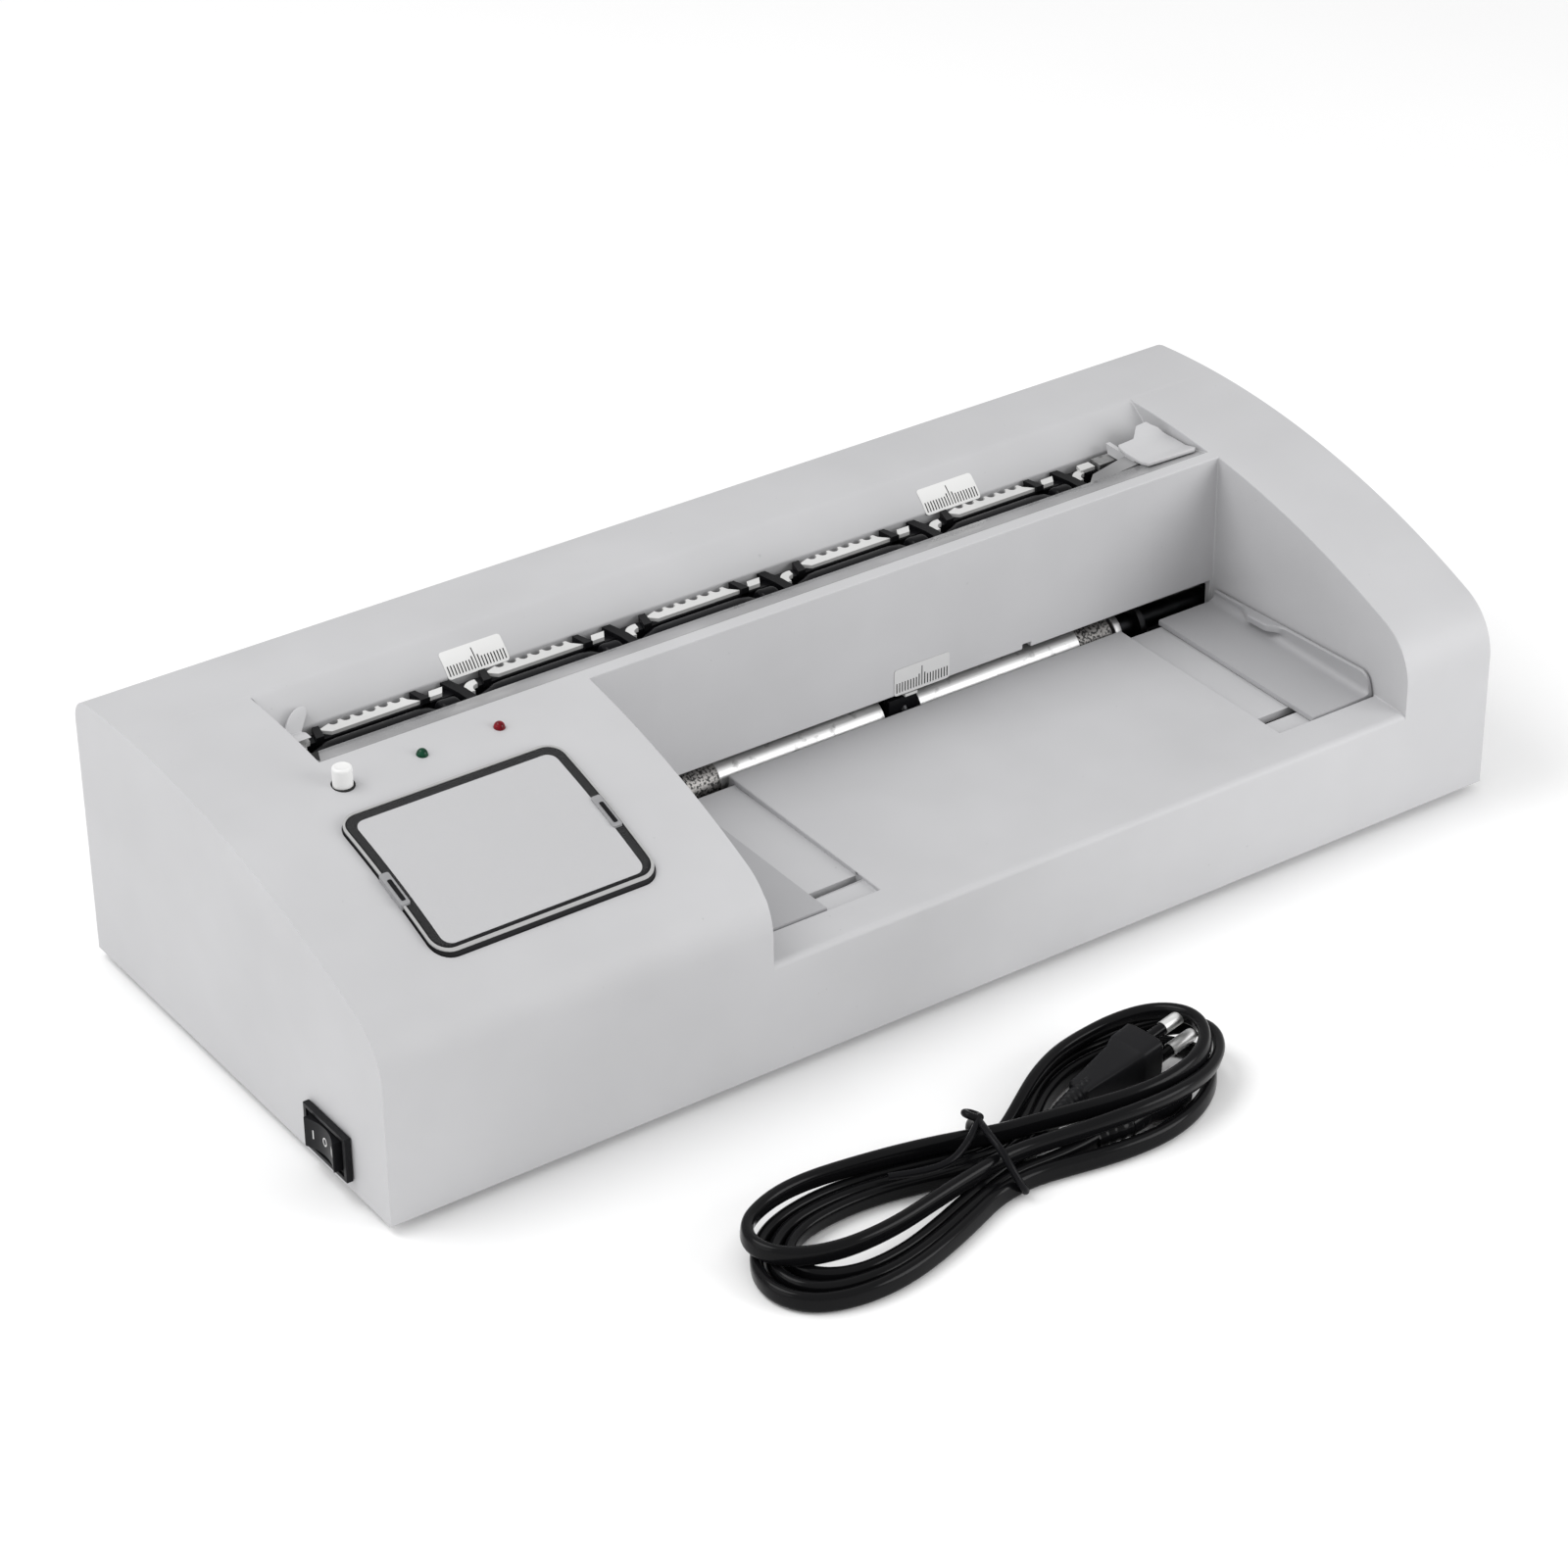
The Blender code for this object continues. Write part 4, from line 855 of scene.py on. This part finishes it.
def lip_and_bar():
    """The strip on the well's front edge, and the black bar under it, thick between the cutters."""
    lip_y, lip_z = LIP_EDGE
    strip = [(93.6, 82.1), (lip_y, lip_z + 0.25), (lip_y + 0.7, lip_z - 0.3), (lip_y + 0.8, 73.0),
             (lip_y + 0.4, 73.0), (lip_y + 0.3, lip_z - 0.5), (lip_y - 0.2, lip_z - 0.2), (93.6, 81.7)]
    piece("lip_strip", prism(strip, WELL_LEFT + 0.5, WELL_RIGHT - 0.5), "guide_plastic", finish=LIP)
    bar = []
    for x in CUTTER_XS[:-1]:
        start = x + 3.5
        end = x + CUTTER_PITCH - 8.5
        profile = [(start, 1.6), (start + 0.5, 3.2), (start + 3.0, 3.9), (start + 5.0, 4.7),
                   (start + 8.0, 4.9), (end - 8.0, 4.9), (end - 5.0, 4.6), (end - 2.0, 3.2), (end, 2.6)]
        bar.append(lathe(profile, "X", (0.0, *BAR_AXIS), 32))
    bar.append(lathe([(WELL_LEFT + 0.5, 1.6), (WELL_RIGHT - 0.5, 1.6)], "X", (0.0, *BAR_AXIS), 24))
    # A thin black sheet on the lip at the well's left end: painted shadow in the corner.
    wedge = [(38.5, 101.6), (42.4, 101.6), (39.0, 94.2)]
    shadow_sheet = layered([(wedge, 0.02), (wedge, 0.12)], (),
                  lambda x, y, proud: (x, y, 82.1 - (y - 93.6) * 0.238 + proud))
    piece("well_end_corner_shadow", shadow_sheet, "black_plastic", finish=SHADOW)
    piece("guide_bar", merged(bar), "black_plastic", replaces="front_guide_strip", finish=GLOSS)


def combs():
    """The combs between the cutters, and the rail that they lie on."""
    rail = [(114.0, 71.0), (119.6, 71.0), (119.6, 73.8), (117.2, 74.9), (114.0, 74.9)]
    piece("comb_carrier", prism(rail, WELL_LEFT + 0.5, WELL_RIGHT - 0.5), "blackened_steel",
          replaces="comb_rail", finish=GLOSS)
    for i, x in enumerate(CUTTER_XS[:-1]):
        piece(f"comb_{i + 1}", comb(x + 11.0, x + 41.0), "white_plastic",
              replaces=f"stripper_comb_{i + 1}", finish=COMB)


def bridges():
    """The black bridge over each pair of cutters, the combs' struts beside it, and white lugs."""
    struts = []
    lugs = []
    hubs = []
    for x in CUTTER_XS:
        if x > CUTTER_XS[0]:
            slant = [(x - 13.2, 119.6), (x - 11.4, 119.6), (x - 9.8, 114.0), (x - 12.4, 114.0)]
            struts.append(plate(slant, 74.0, 76.7))
            lug = [(x - 9.6, 114.8), (x - 5.4, 114.8), (x - 3.6, 117.8), (x - 8.0, 117.8)]
            lugs.append(plate(lug, 74.7, 76.1, 0.25))
            knob = step_round(x - 9.6, x - 3.4, 4.4, 1.4, 5)
            hubs.append(lathe(knob, "X", (0.0, BAR_AXIS[0] + 1.0, BAR_AXIS[1] + 0.4), 32))
        hook = arc((x + 5.2, 111.6), 4.6, 80.0, 190.0, 10) + arc((x + 5.6, 111.2), 2.6, 190.0, 90.0, 8)
        lugs.append(plate(hook, 74.6, 76.0, 0.25))
        cross = [(x - 3.0, 119.8), (x - 0.2, 119.8), (x + 1.4, 113.0), (x + 2.0, 104.4),
                 (x - 1.2, 104.4), (x - 1.6, 112.0)]
        hubs.append(plate(cross, 71.0, 76.2, 0.5, 3))
        if x < CUTTER_XS[-1]:
            slant = [(x + 7.6, 113.8), (x + 10.2, 113.8), (x + 11.6, 119.6), (x + 9.4, 119.6)]
            struts.append(plate(slant, 73.8, 76.1))
    piece("comb_struts", merged(struts), "black_plastic")
    piece("comb_lugs", merged(lugs), "white_plastic", finish=COMB)
    piece("cutter_bridges", merged(hubs), "black_plastic", finish=GLOSS)


def well():
    """What shows in the well, from its lip to the cutters; CUTTER_XS are the front discs' left faces."""
    lip_and_bar()
    combs()
    bridges()
    arbor("slitter_front_shaft", "slitter_front", SLITTER_FRONT, (18.0, 366.0), CUTTER_XS, 9.0,
          "slitter_arbor_front", 4.6)
    arbor("slitter_back_shaft", "slitter_back", SLITTER_BACK, (18.0, 358.5), [x + BESIDE for x in CUTTER_XS],
          9.0, "slitter_arbor_back", 4.6)


def wall_flange():
    """A leaning rib on the well's back wall, with round upper corners; its foot is over the slot."""
    left, right = 40.4, 46.4
    low, high = -6.0, 6.8
    corner = 2.7
    lean = 0.8
    outline = [(right, low)] + arc((right - corner, high - corner), corner, 0.0, 90.0, 6)
    outline += arc((left + corner, high - corner), corner, 90.0, 180.0, 6) + [(left, low)]
    cuts = [low + (high - low) * i / 12 for i in range(1, 12)]

    def place(x, along, proud):
        spot = wall_point(max(along, 0.0) / WALL_LENGTH, proud)
        drop = min(along, 0.0)
        return (x + lean * max(along, 0.0), spot.x + drop, spot.y + 1.4 * min(1.0, -drop / 2.5))

    return layered([(outline, 0.75), (outline, 2.45)], cuts, place)


def sheet_guides():
    """The guides at the two ends of the well, and the plates that show under the right one."""
    flange = wall_flange()
    piece("sheet_guide_left_body", eased(flange, 0.35, 3), "guide_plastic", "sheet_guide_left",
          "well_guide_left", PALE)
    end = 346.6
    edge = [(328.4, 97.5), (end - 1.4, 96.4), (end - 0.2, 97.4), (end, 99.0), (end, 109.0),
             (end - 1.6, 113.4), (end - 5.0, 115.6), (end - 9.0, 115.4), (end - 12.0, 112.8), (328.4, 112.5)]

    def bent(x, y, z):
        return (x, y, z + 0.27 * max(0.0, LIP_EDGE[0] - y) + 0.09 * max(0.0, y - 109.0) ** 2)

    cover = layered([(edge, 80.3), (edge, 81.5)], [98.0 + 1.5 * i for i in range(13)], bent)
    tail = [(104.6, 77.4), (117.4, 77.4), (118.4, 80.6), (104.6, 80.4)]
    skirt = [(310.0, 103.0), (329.0, 103.0), (329.0, 109.4), (315.0, 107.6)]
    sloped = layered([(skirt, 77.4), (skirt, 78.2)], (), lambda x, y, z: (x, y, z + (x - 310.0) * 0.10))
    right = merged([eased(cover, 0.3, 2), prism(tail, 328.5, 330.0)])
    piece("sheet_guide_right_body", right, "guide_plastic", "sheet_guide_right", "well_guide_right", PALE)
    piece("sheet_guide_right_apron", eased(sloped, 0.2, 2), "guide_plastic", "sheet_guide_right", finish=LIP)
    bracket = block((322.4, 333.5), (113.4, 118.2), (74.8, 77.1), 0.3)
    piece("well_end_bracket", bracket, "sheet_steel", finish=SPECKLED)
    shim = plate([(316.0, 114.6), (321.4, 114.6), (321.4, 118.0), (317.0, 118.0)], 75.4, 76.6, 0.2)
    piece("well_end_shim", shim, "white_plastic", finish=COMB)


# ---- the tray ----

GUIDE_FRONT = RECESS_FRONT + 0.5
GUIDE_BACK = 86.0
FENCE_HEIGHT = 7.0
BUMP_FRONT = 52.0
BUMP_BACK = 74.0


def strip_guide(name, body, node, free, held, bumped):
    """A tray guide: a flat plate from its free edge to its fence, with a fillet and a peg under it.

    The fence falls towards the back, and has a finger bump if bumped.
    """
    side = 1.0 if held > free else -1.0
    floor = TRAY_LEVEL - RECESS_DEPTH + GAP
    top = floor + 1.6
    stations = [GUIDE_FRONT + (GUIDE_BACK - GUIDE_FRONT) * i / 72 for i in range(73)]
    work = bmesh.new()
    rings = []
    for y in stations:
        near = min(1.0, (y - GUIDE_FRONT) / 4.5)
        falling = 1.0 - 0.62 * (y - GUIDE_FRONT) / (GUIDE_BACK - GUIDE_FRONT)
        swept = math.sqrt(max(0.0, 1 - (1 - near) ** 2)) * falling
        height = top + 1.0 + (FENCE_HEIGHT - 1.0) * swept
        swell = 0.0
        if bumped and BUMP_FRONT < y < BUMP_BACK:
            swell = 0.5 - 0.5 * math.cos(2 * math.pi * (y - BUMP_FRONT) / (BUMP_BACK - BUMP_FRONT))
        wide = 1.2 + 2.9 * min(1.0, swell * 1.5)
        section = [(free, floor), (free, top - 0.5), (free + side * 0.15, top - 0.15),
                   (free + side * 0.5, top)]
        inner = held - side * 1.2
        reach = 2.6
        for i in range(7):
            turn = math.pi / 2 * i / 6
            section.append((inner - side * reach * (1 - math.sin(turn)),
                            top + min(reach, height - top) * (1 - math.cos(turn)) * 0.8))
        crown = held - side * wide
        section += [(crown + side * 0.05, max(height - 2.2, top + 0.85)),
                    (crown, max(height - 0.5, top + 0.9)), (crown + side * 0.4, height),
                    (held - side * 0.4, height), (held, height - 0.4), (held, floor)]
        rings.append([work.verts.new(at(x, y, z)) for x, z in section])
    skin(work, rings)
    peg = rod("Z", ((free + held) / 2, sum(PEG_SLOT) / 2, floor - 2.0), 1.2, 6.0, 24)
    piece(name, merged([work, peg]), "guide_plastic", body, node, degrees=38.0)


CARD_XS = [141.0 + 90.0 * i for i in range(3)]
CARD_LOWER = (97.0, 29.5)
CARD_UPPER = (101.0, 45.0)


def tray():
    """The strip guides, and what shows in the feed mouth: rollers, cutters and a collar."""
    strip_guide("strip_guide_left_body", "strip_guide_left", "tray_guide_left", 150.0, 124.6, False)
    strip_guide("strip_guide_right_body", "strip_guide_right", "tray_guide_right", 325.0, 348.0, True)
    span = (27.5, 373.0)
    arbor("card_lower_shaft", "card_lower", CARD_LOWER, span, CARD_XS, 8.3, "card_arbor_lower")
    arbor("card_upper_shaft", "card_upper", CARD_UPPER, span, [x + BESIDE for x in CARD_XS], 8.0,
          "card_arbor_upper", 4.4)
    # The lower roller in four lengths; the two end lengths are darker and speckled.
    for name, first, last, finish, replaced in (
        ("roller_left_dark_end", 147.0, 166.0, DARK_ENDS, None),
        ("roller_left_body", 166.0, 225.0, None, "card_roller_left"),
        ("roller_right_body", 238.0, 298.0, None, "card_roller_right"),
        ("roller_right_dark_end", 298.0, 310.5, DARK_ENDS, None),
    ):
        profile = [(first, 3.9), (first, 7.4), (first + 0.1, 7.5)]
        profile += [(first + (last - first) * i / 12, 7.5) for i in range(1, 12)]
        profile += [(last - 0.1, 7.5), (last, 7.4), (last, 3.9)]
        piece(name, lathe(profile, "X", (0.0, *CARD_LOWER), 64), "aluminium", "card_lower", replaced,
              finish)
    collar = lathe(step_round(312.6, 315.2, 6.2, 0.4), "X", (0.0, *CARD_LOWER), 40)
    piece("card_collar", collar, "aluminium", "card_lower")
    # Glossy black blocks in the gaps at the two left cutters: painted shade in the feed mouth.
    for i, x in enumerate(CARD_XS[:2]):
        gap_shadow = block((x - 4.5, x + 5.5), (90.4, 93.4), (33.0, 37.6), 0.5)
        piece(f"card_cutter_gap_shadow_{i + 1}", gap_shadow, "black_plastic", finish=GLOSS)
    tag = block((232.0, 236.5), (89.9, 92.4), (37.7, 38.6), 0.2)
    piece("card_cutter_tag", tag, "white_plastic", finish=COMB)


# ---- the inlet and the feet ----


def inlet_and_feet():
    """The mains inlet in the back wall with its two pins, and the feet with their dished faces."""
    flange = block((INLET_X - 13.4, INLET_X + 13.4), (DEPTH + GAP, DEPTH + 1.8), (7.6, 27.4), 0.7, 4)
    body = block((INLET_X - 11.0, INLET_X + 11.0), (DEPTH - 20.0, DEPTH + 1.0), (10.0, 25.0))
    eight = [rod("Y", (x, DEPTH - 4.0, 17.5), 4.2, 14.0) for x in (INLET_X - 3.5, INLET_X + 3.5)]
    socket = carved(body, eight, 0.25, joins=(flange,))
    piece("inlet_body", socket, "black_plastic", replaces="mains_inlet")
    pins = [lathe(step_round(DEPTH - 10.8, DEPTH - 2.5, 1.2, 0.6), "Y", (x, 0.0, 17.5), 24)
            for x in (INLET_X - 3.5, INLET_X + 3.5)]
    piece("inlet_pins", merged(pins), "sheet_steel")
    for corner in ("front_left", "front_right", "back_left", "back_right"):
        low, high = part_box(f"foot_{corner}")
        middle = (low + high) / 2
        local = (middle - at(0, 0, 0)) / MM
        profile = [(FLOOR + 0.5, 4.5), (FLOOR + 0.1, 5.2), (FLOOR, 5.8), (FLOOR, 6.6), (FLOOR + 0.3, 7.1),
                   (FLOOR + 2.3, 8.0), (-0.1, 8.0)]
        foot = lathe(profile, "Z", (local.x, local.y, 0.0), 40)
        piece(f"foot_pad_{corner}", foot, "foot_rubber", replaces=f"foot_{corner}")


# ---- the mains lead ----

CORD_WIDTH = 5.6
CORE_RADIUS = 1.7
CORE_OFFSET = CORD_WIDTH / 2 - CORE_RADIUS
LOW = 2.9
HIGH = 8.6
TIED_AT = (145.0, -71.2)
DRAWN_IN = 0.972


def level_turn(height, *spots):
    """A turn that lies level, at a height over the table."""
    return [(x, y, height) for x, y in spots]


# The lead's middle line as (x, y, height over the table), from the plug to the connector, before
# its turns are drawn in towards the tie.
PLUG_RUN = [(184, -60.9, 7.2), (176, -62.4, 6.4), (167, -65.5, 4.6), (157, -69.8, 3.2)]
INNER_LEFT_TURN = level_turn(
    LOW, (147, -73), (137, -75.8), (125, -79.8), (113, -83.9), (101, -87), (88, -87.6), (78.5, -84),
    (73.5, -77), (75.5, -69.5), (84, -63.8), (97, -61.7), (111, -62.3), (125, -65.2), (137, -68.2),
    (147, -69.3))
LOWER_RIGHT_TURN = level_turn(
    LOW, (156, -66.5), (165, -60.5), (174, -53.5), (185, -48.2), (198, -46.2), (210, -47.2),
    (219.5, -53), (223.5, -62), (219.5, -71.5), (208.5, -80.2), (193.5, -85), (177, -84.8),
    (162.5, -82.3), (153, -80.6), (144.5, -80.3))
OUTER_LEFT_TURN = level_turn(
    LOW, (135, -82.2), (125, -86.2), (111, -91.3), (96, -95), (82, -95.2), (70.5, -91.5), (64.5, -84.5),
    (63.3, -76), (66.8, -67), (75.5, -59), (88, -55), (103, -54.3), (119, -56.8), (134, -60.6),
    (147, -62.2))
UPPER_RIGHT_TURN = [
    (156, -59.2, 4.0), (165, -54.4, 6.4), (174, -49.4, 8.2), (185, -44.8, 8.8), (196, -42.8, 9.0),
    (206, -43.0, 10.0), (215.5, -46.5, 11.8), (221.5, -53.5, 13.4), (222.5, -62, 14.2), (218, -70, 13.6),
    (209, -75, 12.8), (197, -76.8, 12.0), (184, -75.5, 11.4), (171, -71.8, 10.4), (159, -68, 9.4),
    (149, -65.3, 8.8)]
TOP_LEFT_TURN = level_turn(
    HIGH, (135.1, -60.4), (122.3, -56.9), (107.2, -53.9), (93.7, -52.2), (82.7, -53), (73, -56.5),
    (68, -61), (66, -66.8), (67.7, -73.1), (73.2, -78.4), (82.1, -81.7), (91.7, -82.7), (103.7, -81.9),
    (116, -79.5), (128.5, -77.1), (140.7, -75.2))
MIDDLE_RIGHT_TURN = [
    (150.5, -75.1, HIGH), (161, -76.7, 8.9), (171, -79.0, 9.8), (184.5, -81.4, 10.9), (198, -81.4, 10.9),
    (212, -77.5, 9.8), (222.5, -70.5, 8.9), (227.6, -61, HIGH), (225, -51.5, 7.0), (216.5, -45, 4.4),
    (206, -42.4, 3.0), (195, -42.5, LOW), (184, -44.8, LOW), (174, -49.8, LOW), (165, -56.8, LOW),
    (156, -62.8, LOW), (147, -65.8, LOW)]
MIDDLE_LEFT_TURN = level_turn(
    LOW, (134, -64.3), (119, -60.6), (104, -58), (88, -58.8), (78, -62.5), (70.8, -68.8), (68.2, -76.5),
    (70.3, -84), (77, -89.3), (88, -91.4), (98, -91), (112, -87.4), (126, -82.4), (137, -78.6),
    (147, -76.7))
CONNECTOR_RUN = [(158, -77.2, 3.0), (168, -77.6, 3.6), (178, -77.4, 4.6)]
LEAD_ROUTE = (PLUG_RUN + INNER_LEFT_TURN + LOWER_RIGHT_TURN + OUTER_LEFT_TURN + UPPER_RIGHT_TURN
              + TOP_LEFT_TURN + MIDDLE_RIGHT_TURN + MIDDLE_LEFT_TURN + CONNECTOR_RUN)


def spline(points, steps):
    """A Catmull-Rom curve through points, with steps places between each two."""
    held = [Vector(point) for point in points]
    held = [held[0] * 2 - held[1]] + held + [held[-1] * 2 - held[-2]]
    out = []
    for a, b, c, d in zip(held, held[1:], held[2:], held[3:]):
        for i in range(steps):
            t = i / steps
            out.append(0.5 * (2 * b + (c - a) * t + (2 * a - 5 * b + 4 * c - d) * t * t
                              + (3 * b - a - 3 * c + d) * t ** 3))
    out.append(held[-2])
    return out


def even(points, spacing):
    """The same line with its points evenly spaced, and rounded a little between them."""
    for _ in range(6):
        inner = [(a + b * 2 + c) / 4 for a, b, c in zip(points, points[1:], points[2:])]
        points = [points[0]] + inner + [points[-1]]
    along = [0.0]
    for a, b in zip(points, points[1:]):
        along.append(along[-1] + (b - a).length)
    count = max(2, round(along[-1] / spacing))
    out = []
    place = 0
    for i in range(count + 1):
        want = along[-1] * i / count
        while place < len(along) - 2 and along[place + 1] < want:
            place += 1
        span = along[place + 1] - along[place]
        out.append(points[place].lerp(points[place + 1], (want - along[place]) / span if span else 0.0))
    return out, along[-1]


def flat_lead(sides):
    """The section of a flat lead, as (up, aside): two half rounds joined by flat sides."""
    ring = []
    for end in (1, -1):
        for i in range(sides + 1):
            angle = math.pi * i / sides
            ring.append((end * (CORE_OFFSET + CORE_RADIUS * math.sin(angle)),
                         end * CORE_RADIUS * math.cos(angle)))
    return ring


def sweep_work(line, section, lean=None, scale=None):
    """A closed skin along line (millimetres) with section (up, aside); lean turns it about the line."""
    work = bmesh.new()
    rings = []
    for i, middle in enumerate(line):
        ahead = (line[min(i + 1, len(line) - 1)] - line[max(i - 1, 0)]).normalized()
        aside = ahead.cross(Vector((0, 0, 1))).normalized()
        up = aside.cross(ahead).normalized()
        turn = lean(i / (len(line) - 1)) if lean else 0.0
        grow = scale(i / (len(line) - 1)) if scale else 1.0
        first = up * math.cos(turn) + aside * math.sin(turn)
        second = aside * math.cos(turn) - up * math.sin(turn)
        ring = []
        for rise, out in section:
            point = middle + first * rise * grow + second * out * grow
            ring.append(work.verts.new(at(*point)))
        rings.append(ring)
    skin(work, rings)
    return work


def circle(radius, sides):
    """A round section for sweep_work."""
    return [(radius * math.sin(2 * math.pi * i / sides), radius * math.cos(2 * math.pi * i / sides))
            for i in range(sides)]


# ---- the plug, the connector and the tie ----

PLUG_TAIL = (179.5, -61.4)
PLUG_NOSE = (205.0, -57.6)
PLUG_LEVEL = 6.6
PLUG_CLIMB = 0.09
PIN_SPOTS = ((0.2, 2.6), (-2.8, -3.0))
CONNECTOR_TAIL = (184.0, -78.0)
CONNECTOR_NOSE = (205.0, -73.0)
CONNECTOR_LEVEL = 5.2
WIRE_RADIUS = 1.05


def directions(tail, nose):
    """Along a line on the table and across it, each one long."""
    heading = (Vector(nose) - Vector(tail)).normalized()
    return heading, Vector((-heading.y, heading.x))


def plug_body(tail, nose, level, stations, climb=0.0, square=0.55):
    """A moulded body along a line: stations are (distance, half width, half height)."""
    heading, aside = directions(tail, nose)
    work = bmesh.new()
    rings = []
    for distance, half, tall in stations:
        middle = Vector(tail) + heading * distance
        ring = []
        for i in range(36):
            angle = 2 * math.pi * i / 36
            out = math.copysign(abs(math.cos(angle)) ** square, math.cos(angle)) * half
            up = math.copysign(abs(math.sin(angle)) ** square, math.sin(angle)) * tall
            spot = middle + aside * out
            ring.append(work.verts.new(at(spot.x, spot.y, level + FLOOR + climb * distance + up)))
        rings.append(ring)
    skin(work, rings)
    return work


def relief(line, start, end):
    """A ribbed sleeve that tapers along the lead's line, thick at start and slim at end."""
    def grow(share):
        rib = 0.35 if (share * 8) % 1.0 < 0.55 else 0.0
        return (start + (end - start) * share) + rib * (1 - 0.6 * share)

    fine, _ = even(line, 0.45)
    oval = [(u * 0.92, v * 0.78) for u, v in circle(1.0, 28)]
    return sweep_work(fine, oval, scale=grow)


def plug(line):
    """The plug with its ribbed sleeve, the pins' sleeves and the pins; returns its pieces."""
    steps = [(-1.0, 2.8, 2.6), (-0.4, 3.6, 3.2), (4.0, 4.0, 3.6), (16.0, 5.6, 4.9), (18.2, 6.5, 5.8),
             (19.0, 6.7, 6.0), (25.2, 6.9, 6.2), (25.8, 6.5, 5.8)]
    body = plug_body(PLUG_TAIL, PLUG_NOSE, PLUG_LEVEL, steps, PLUG_CLIMB, 0.32)
    sleeve = relief(line[:10], 3.4, 3.1)
    made = [piece("plug_body", merged([body, sleeve]), "cord_pvc", replaces="cord_plug",
                  finish=BLACK, degrees=28.0)]
    heading, aside = directions(PLUG_TAIL, PLUG_NOSE)
    face = PLUG_LEVEL + FLOOR + PLUG_CLIMB * math.dist(PLUG_TAIL, PLUG_NOSE)
    sleeves = []
    pins = []
    for spread, rise in PIN_SPOTS:
        def spot(distance, spread=spread, rise=rise):
            place = Vector(PLUG_NOSE) + aside * spread + heading * distance
            return Vector((place.x, place.y, face + rise + 0.10 * distance))
        sleeves.append(sweep_work([spot(-1.5), spot(0.5), spot(7.4), spot(7.6)], circle(1.8, 24)))
        tip = [1.0, 1.0, 1.0, 0.85, 0.45]
        run = [spot(7.0), spot(11.0), spot(15.4), spot(16.3), spot(16.8)]
        pins.append(sweep_work(run, circle(1.98, 24), scale=lambda share: tip[round(share * 4)]))
    made.append(piece("plug_sleeves", merged(sleeves), "cord_pvc"))
    made.append(piece("plug_pins", merged(pins), "sheet_steel", finish=PIN))
    return made


def connector(line):
    """The connector at the lead's other end, with its ribbed sleeve."""
    steps = [(-2.0, 3.0, 2.8), (6.0, 3.2, 2.9), (9.0, 4.2, 3.6), (12.0, 4.9, 4.0), (20.4, 4.9, 4.0),
             (21.0, 4.6, 3.7)]
    body = plug_body(CONNECTOR_TAIL, CONNECTOR_NOSE, CONNECTOR_LEVEL, steps)
    heading, _ = directions(CONNECTOR_TAIL, CONNECTOR_NOSE)
    run = [Vector(CONNECTOR_TAIL) + heading * (10.0 - i) for i in range(15)]
    run = [Vector((*spot, CONNECTOR_LEVEL + FLOOR)) for spot in run] + list(reversed(line[-4:]))
    ribs = relief(run, 4.3, 3.1)
    return piece("connector_body", merged([body, ribs]), "cord_pvc", replaces="cord_connector")


# The tie's wire as (x, y, height over the table): round the waist, and its loose end.
TIE_ROUND = [(143.6, -63.4, 14.2), (142.4, -67.5, 14.6), (141.5, -72.0, 14.3), (141.2, -76.8, 13.0),
             (141.5, -80.8, 9.5), (143.0, -83.4, 5.0), (145.0, -82.5, 1.7), (146.0, -76.0, 1.1),
             (146.6, -68.0, 1.1), (146.4, -61.0, 1.4), (145.6, -57.6, 4.4), (144.8, -57.8, 8.8),
             (144.2, -60.2, 12.2), (143.4, -63.0, 14.6)]
TIE_EYE = [(143.4, -63.0, 14.6), (141.9, -61.2, 15.2), (142.2, -58.9, 14.6), (144.4, -58.6, 13.4),
           (145.4, -60.9, 13.4), (144.4, -63.0, 14.6)]
TIE_END = [(144.4, -63.0, 14.6), (141.5, -65.2, 14.2), (136.5, -67.8, 12.2), (129.6, -69.9, 10.6),
           (122.3, -68.2, 9.6), (113.7, -63.9, 8.8)]


def tie():
    """The twisted wire round the hank's waist."""
    wires = []
    for points in (TIE_ROUND, TIE_EYE, TIE_END):
        line, _ = even(spline([(x, y, height + FLOOR) for x, y, height in points], 8), 0.8)
        wires.append(sweep_work(line, circle(WIRE_RADIUS, 14)))
    return piece("tie_wire", merged(wires), "black_plastic", replaces="cord_tie", finish=GLOSS)


def mains_lead():
    """The lead with everything on it: the plug, the connector and the tie."""
    waist_x, waist_y = TIED_AT
    route = [(waist_x + (x - waist_x) * DRAWN_IN, waist_y + (y - waist_y) * DRAWN_IN, height + FLOOR)
             for x, y, height in LEAD_ROUTE]
    line, length = even(spline(route, 6), 1.6)
    section = flat_lead(9)

    def lean(share):
        return math.radians(11.0) * math.sin(share * length / 47.0) + math.radians(4.0)

    lead = piece("mains_lead", sweep_work(line, section, lean), "cord_pvc", replaces="cord_hank")
    plug(line)
    connector(line)
    tie()


finish_cad_nodes()
stage()
mains_lead()
housing()
console()
rocker_switch()
rulers()
well()
sheet_guides()
tray()
inlet_and_feet()
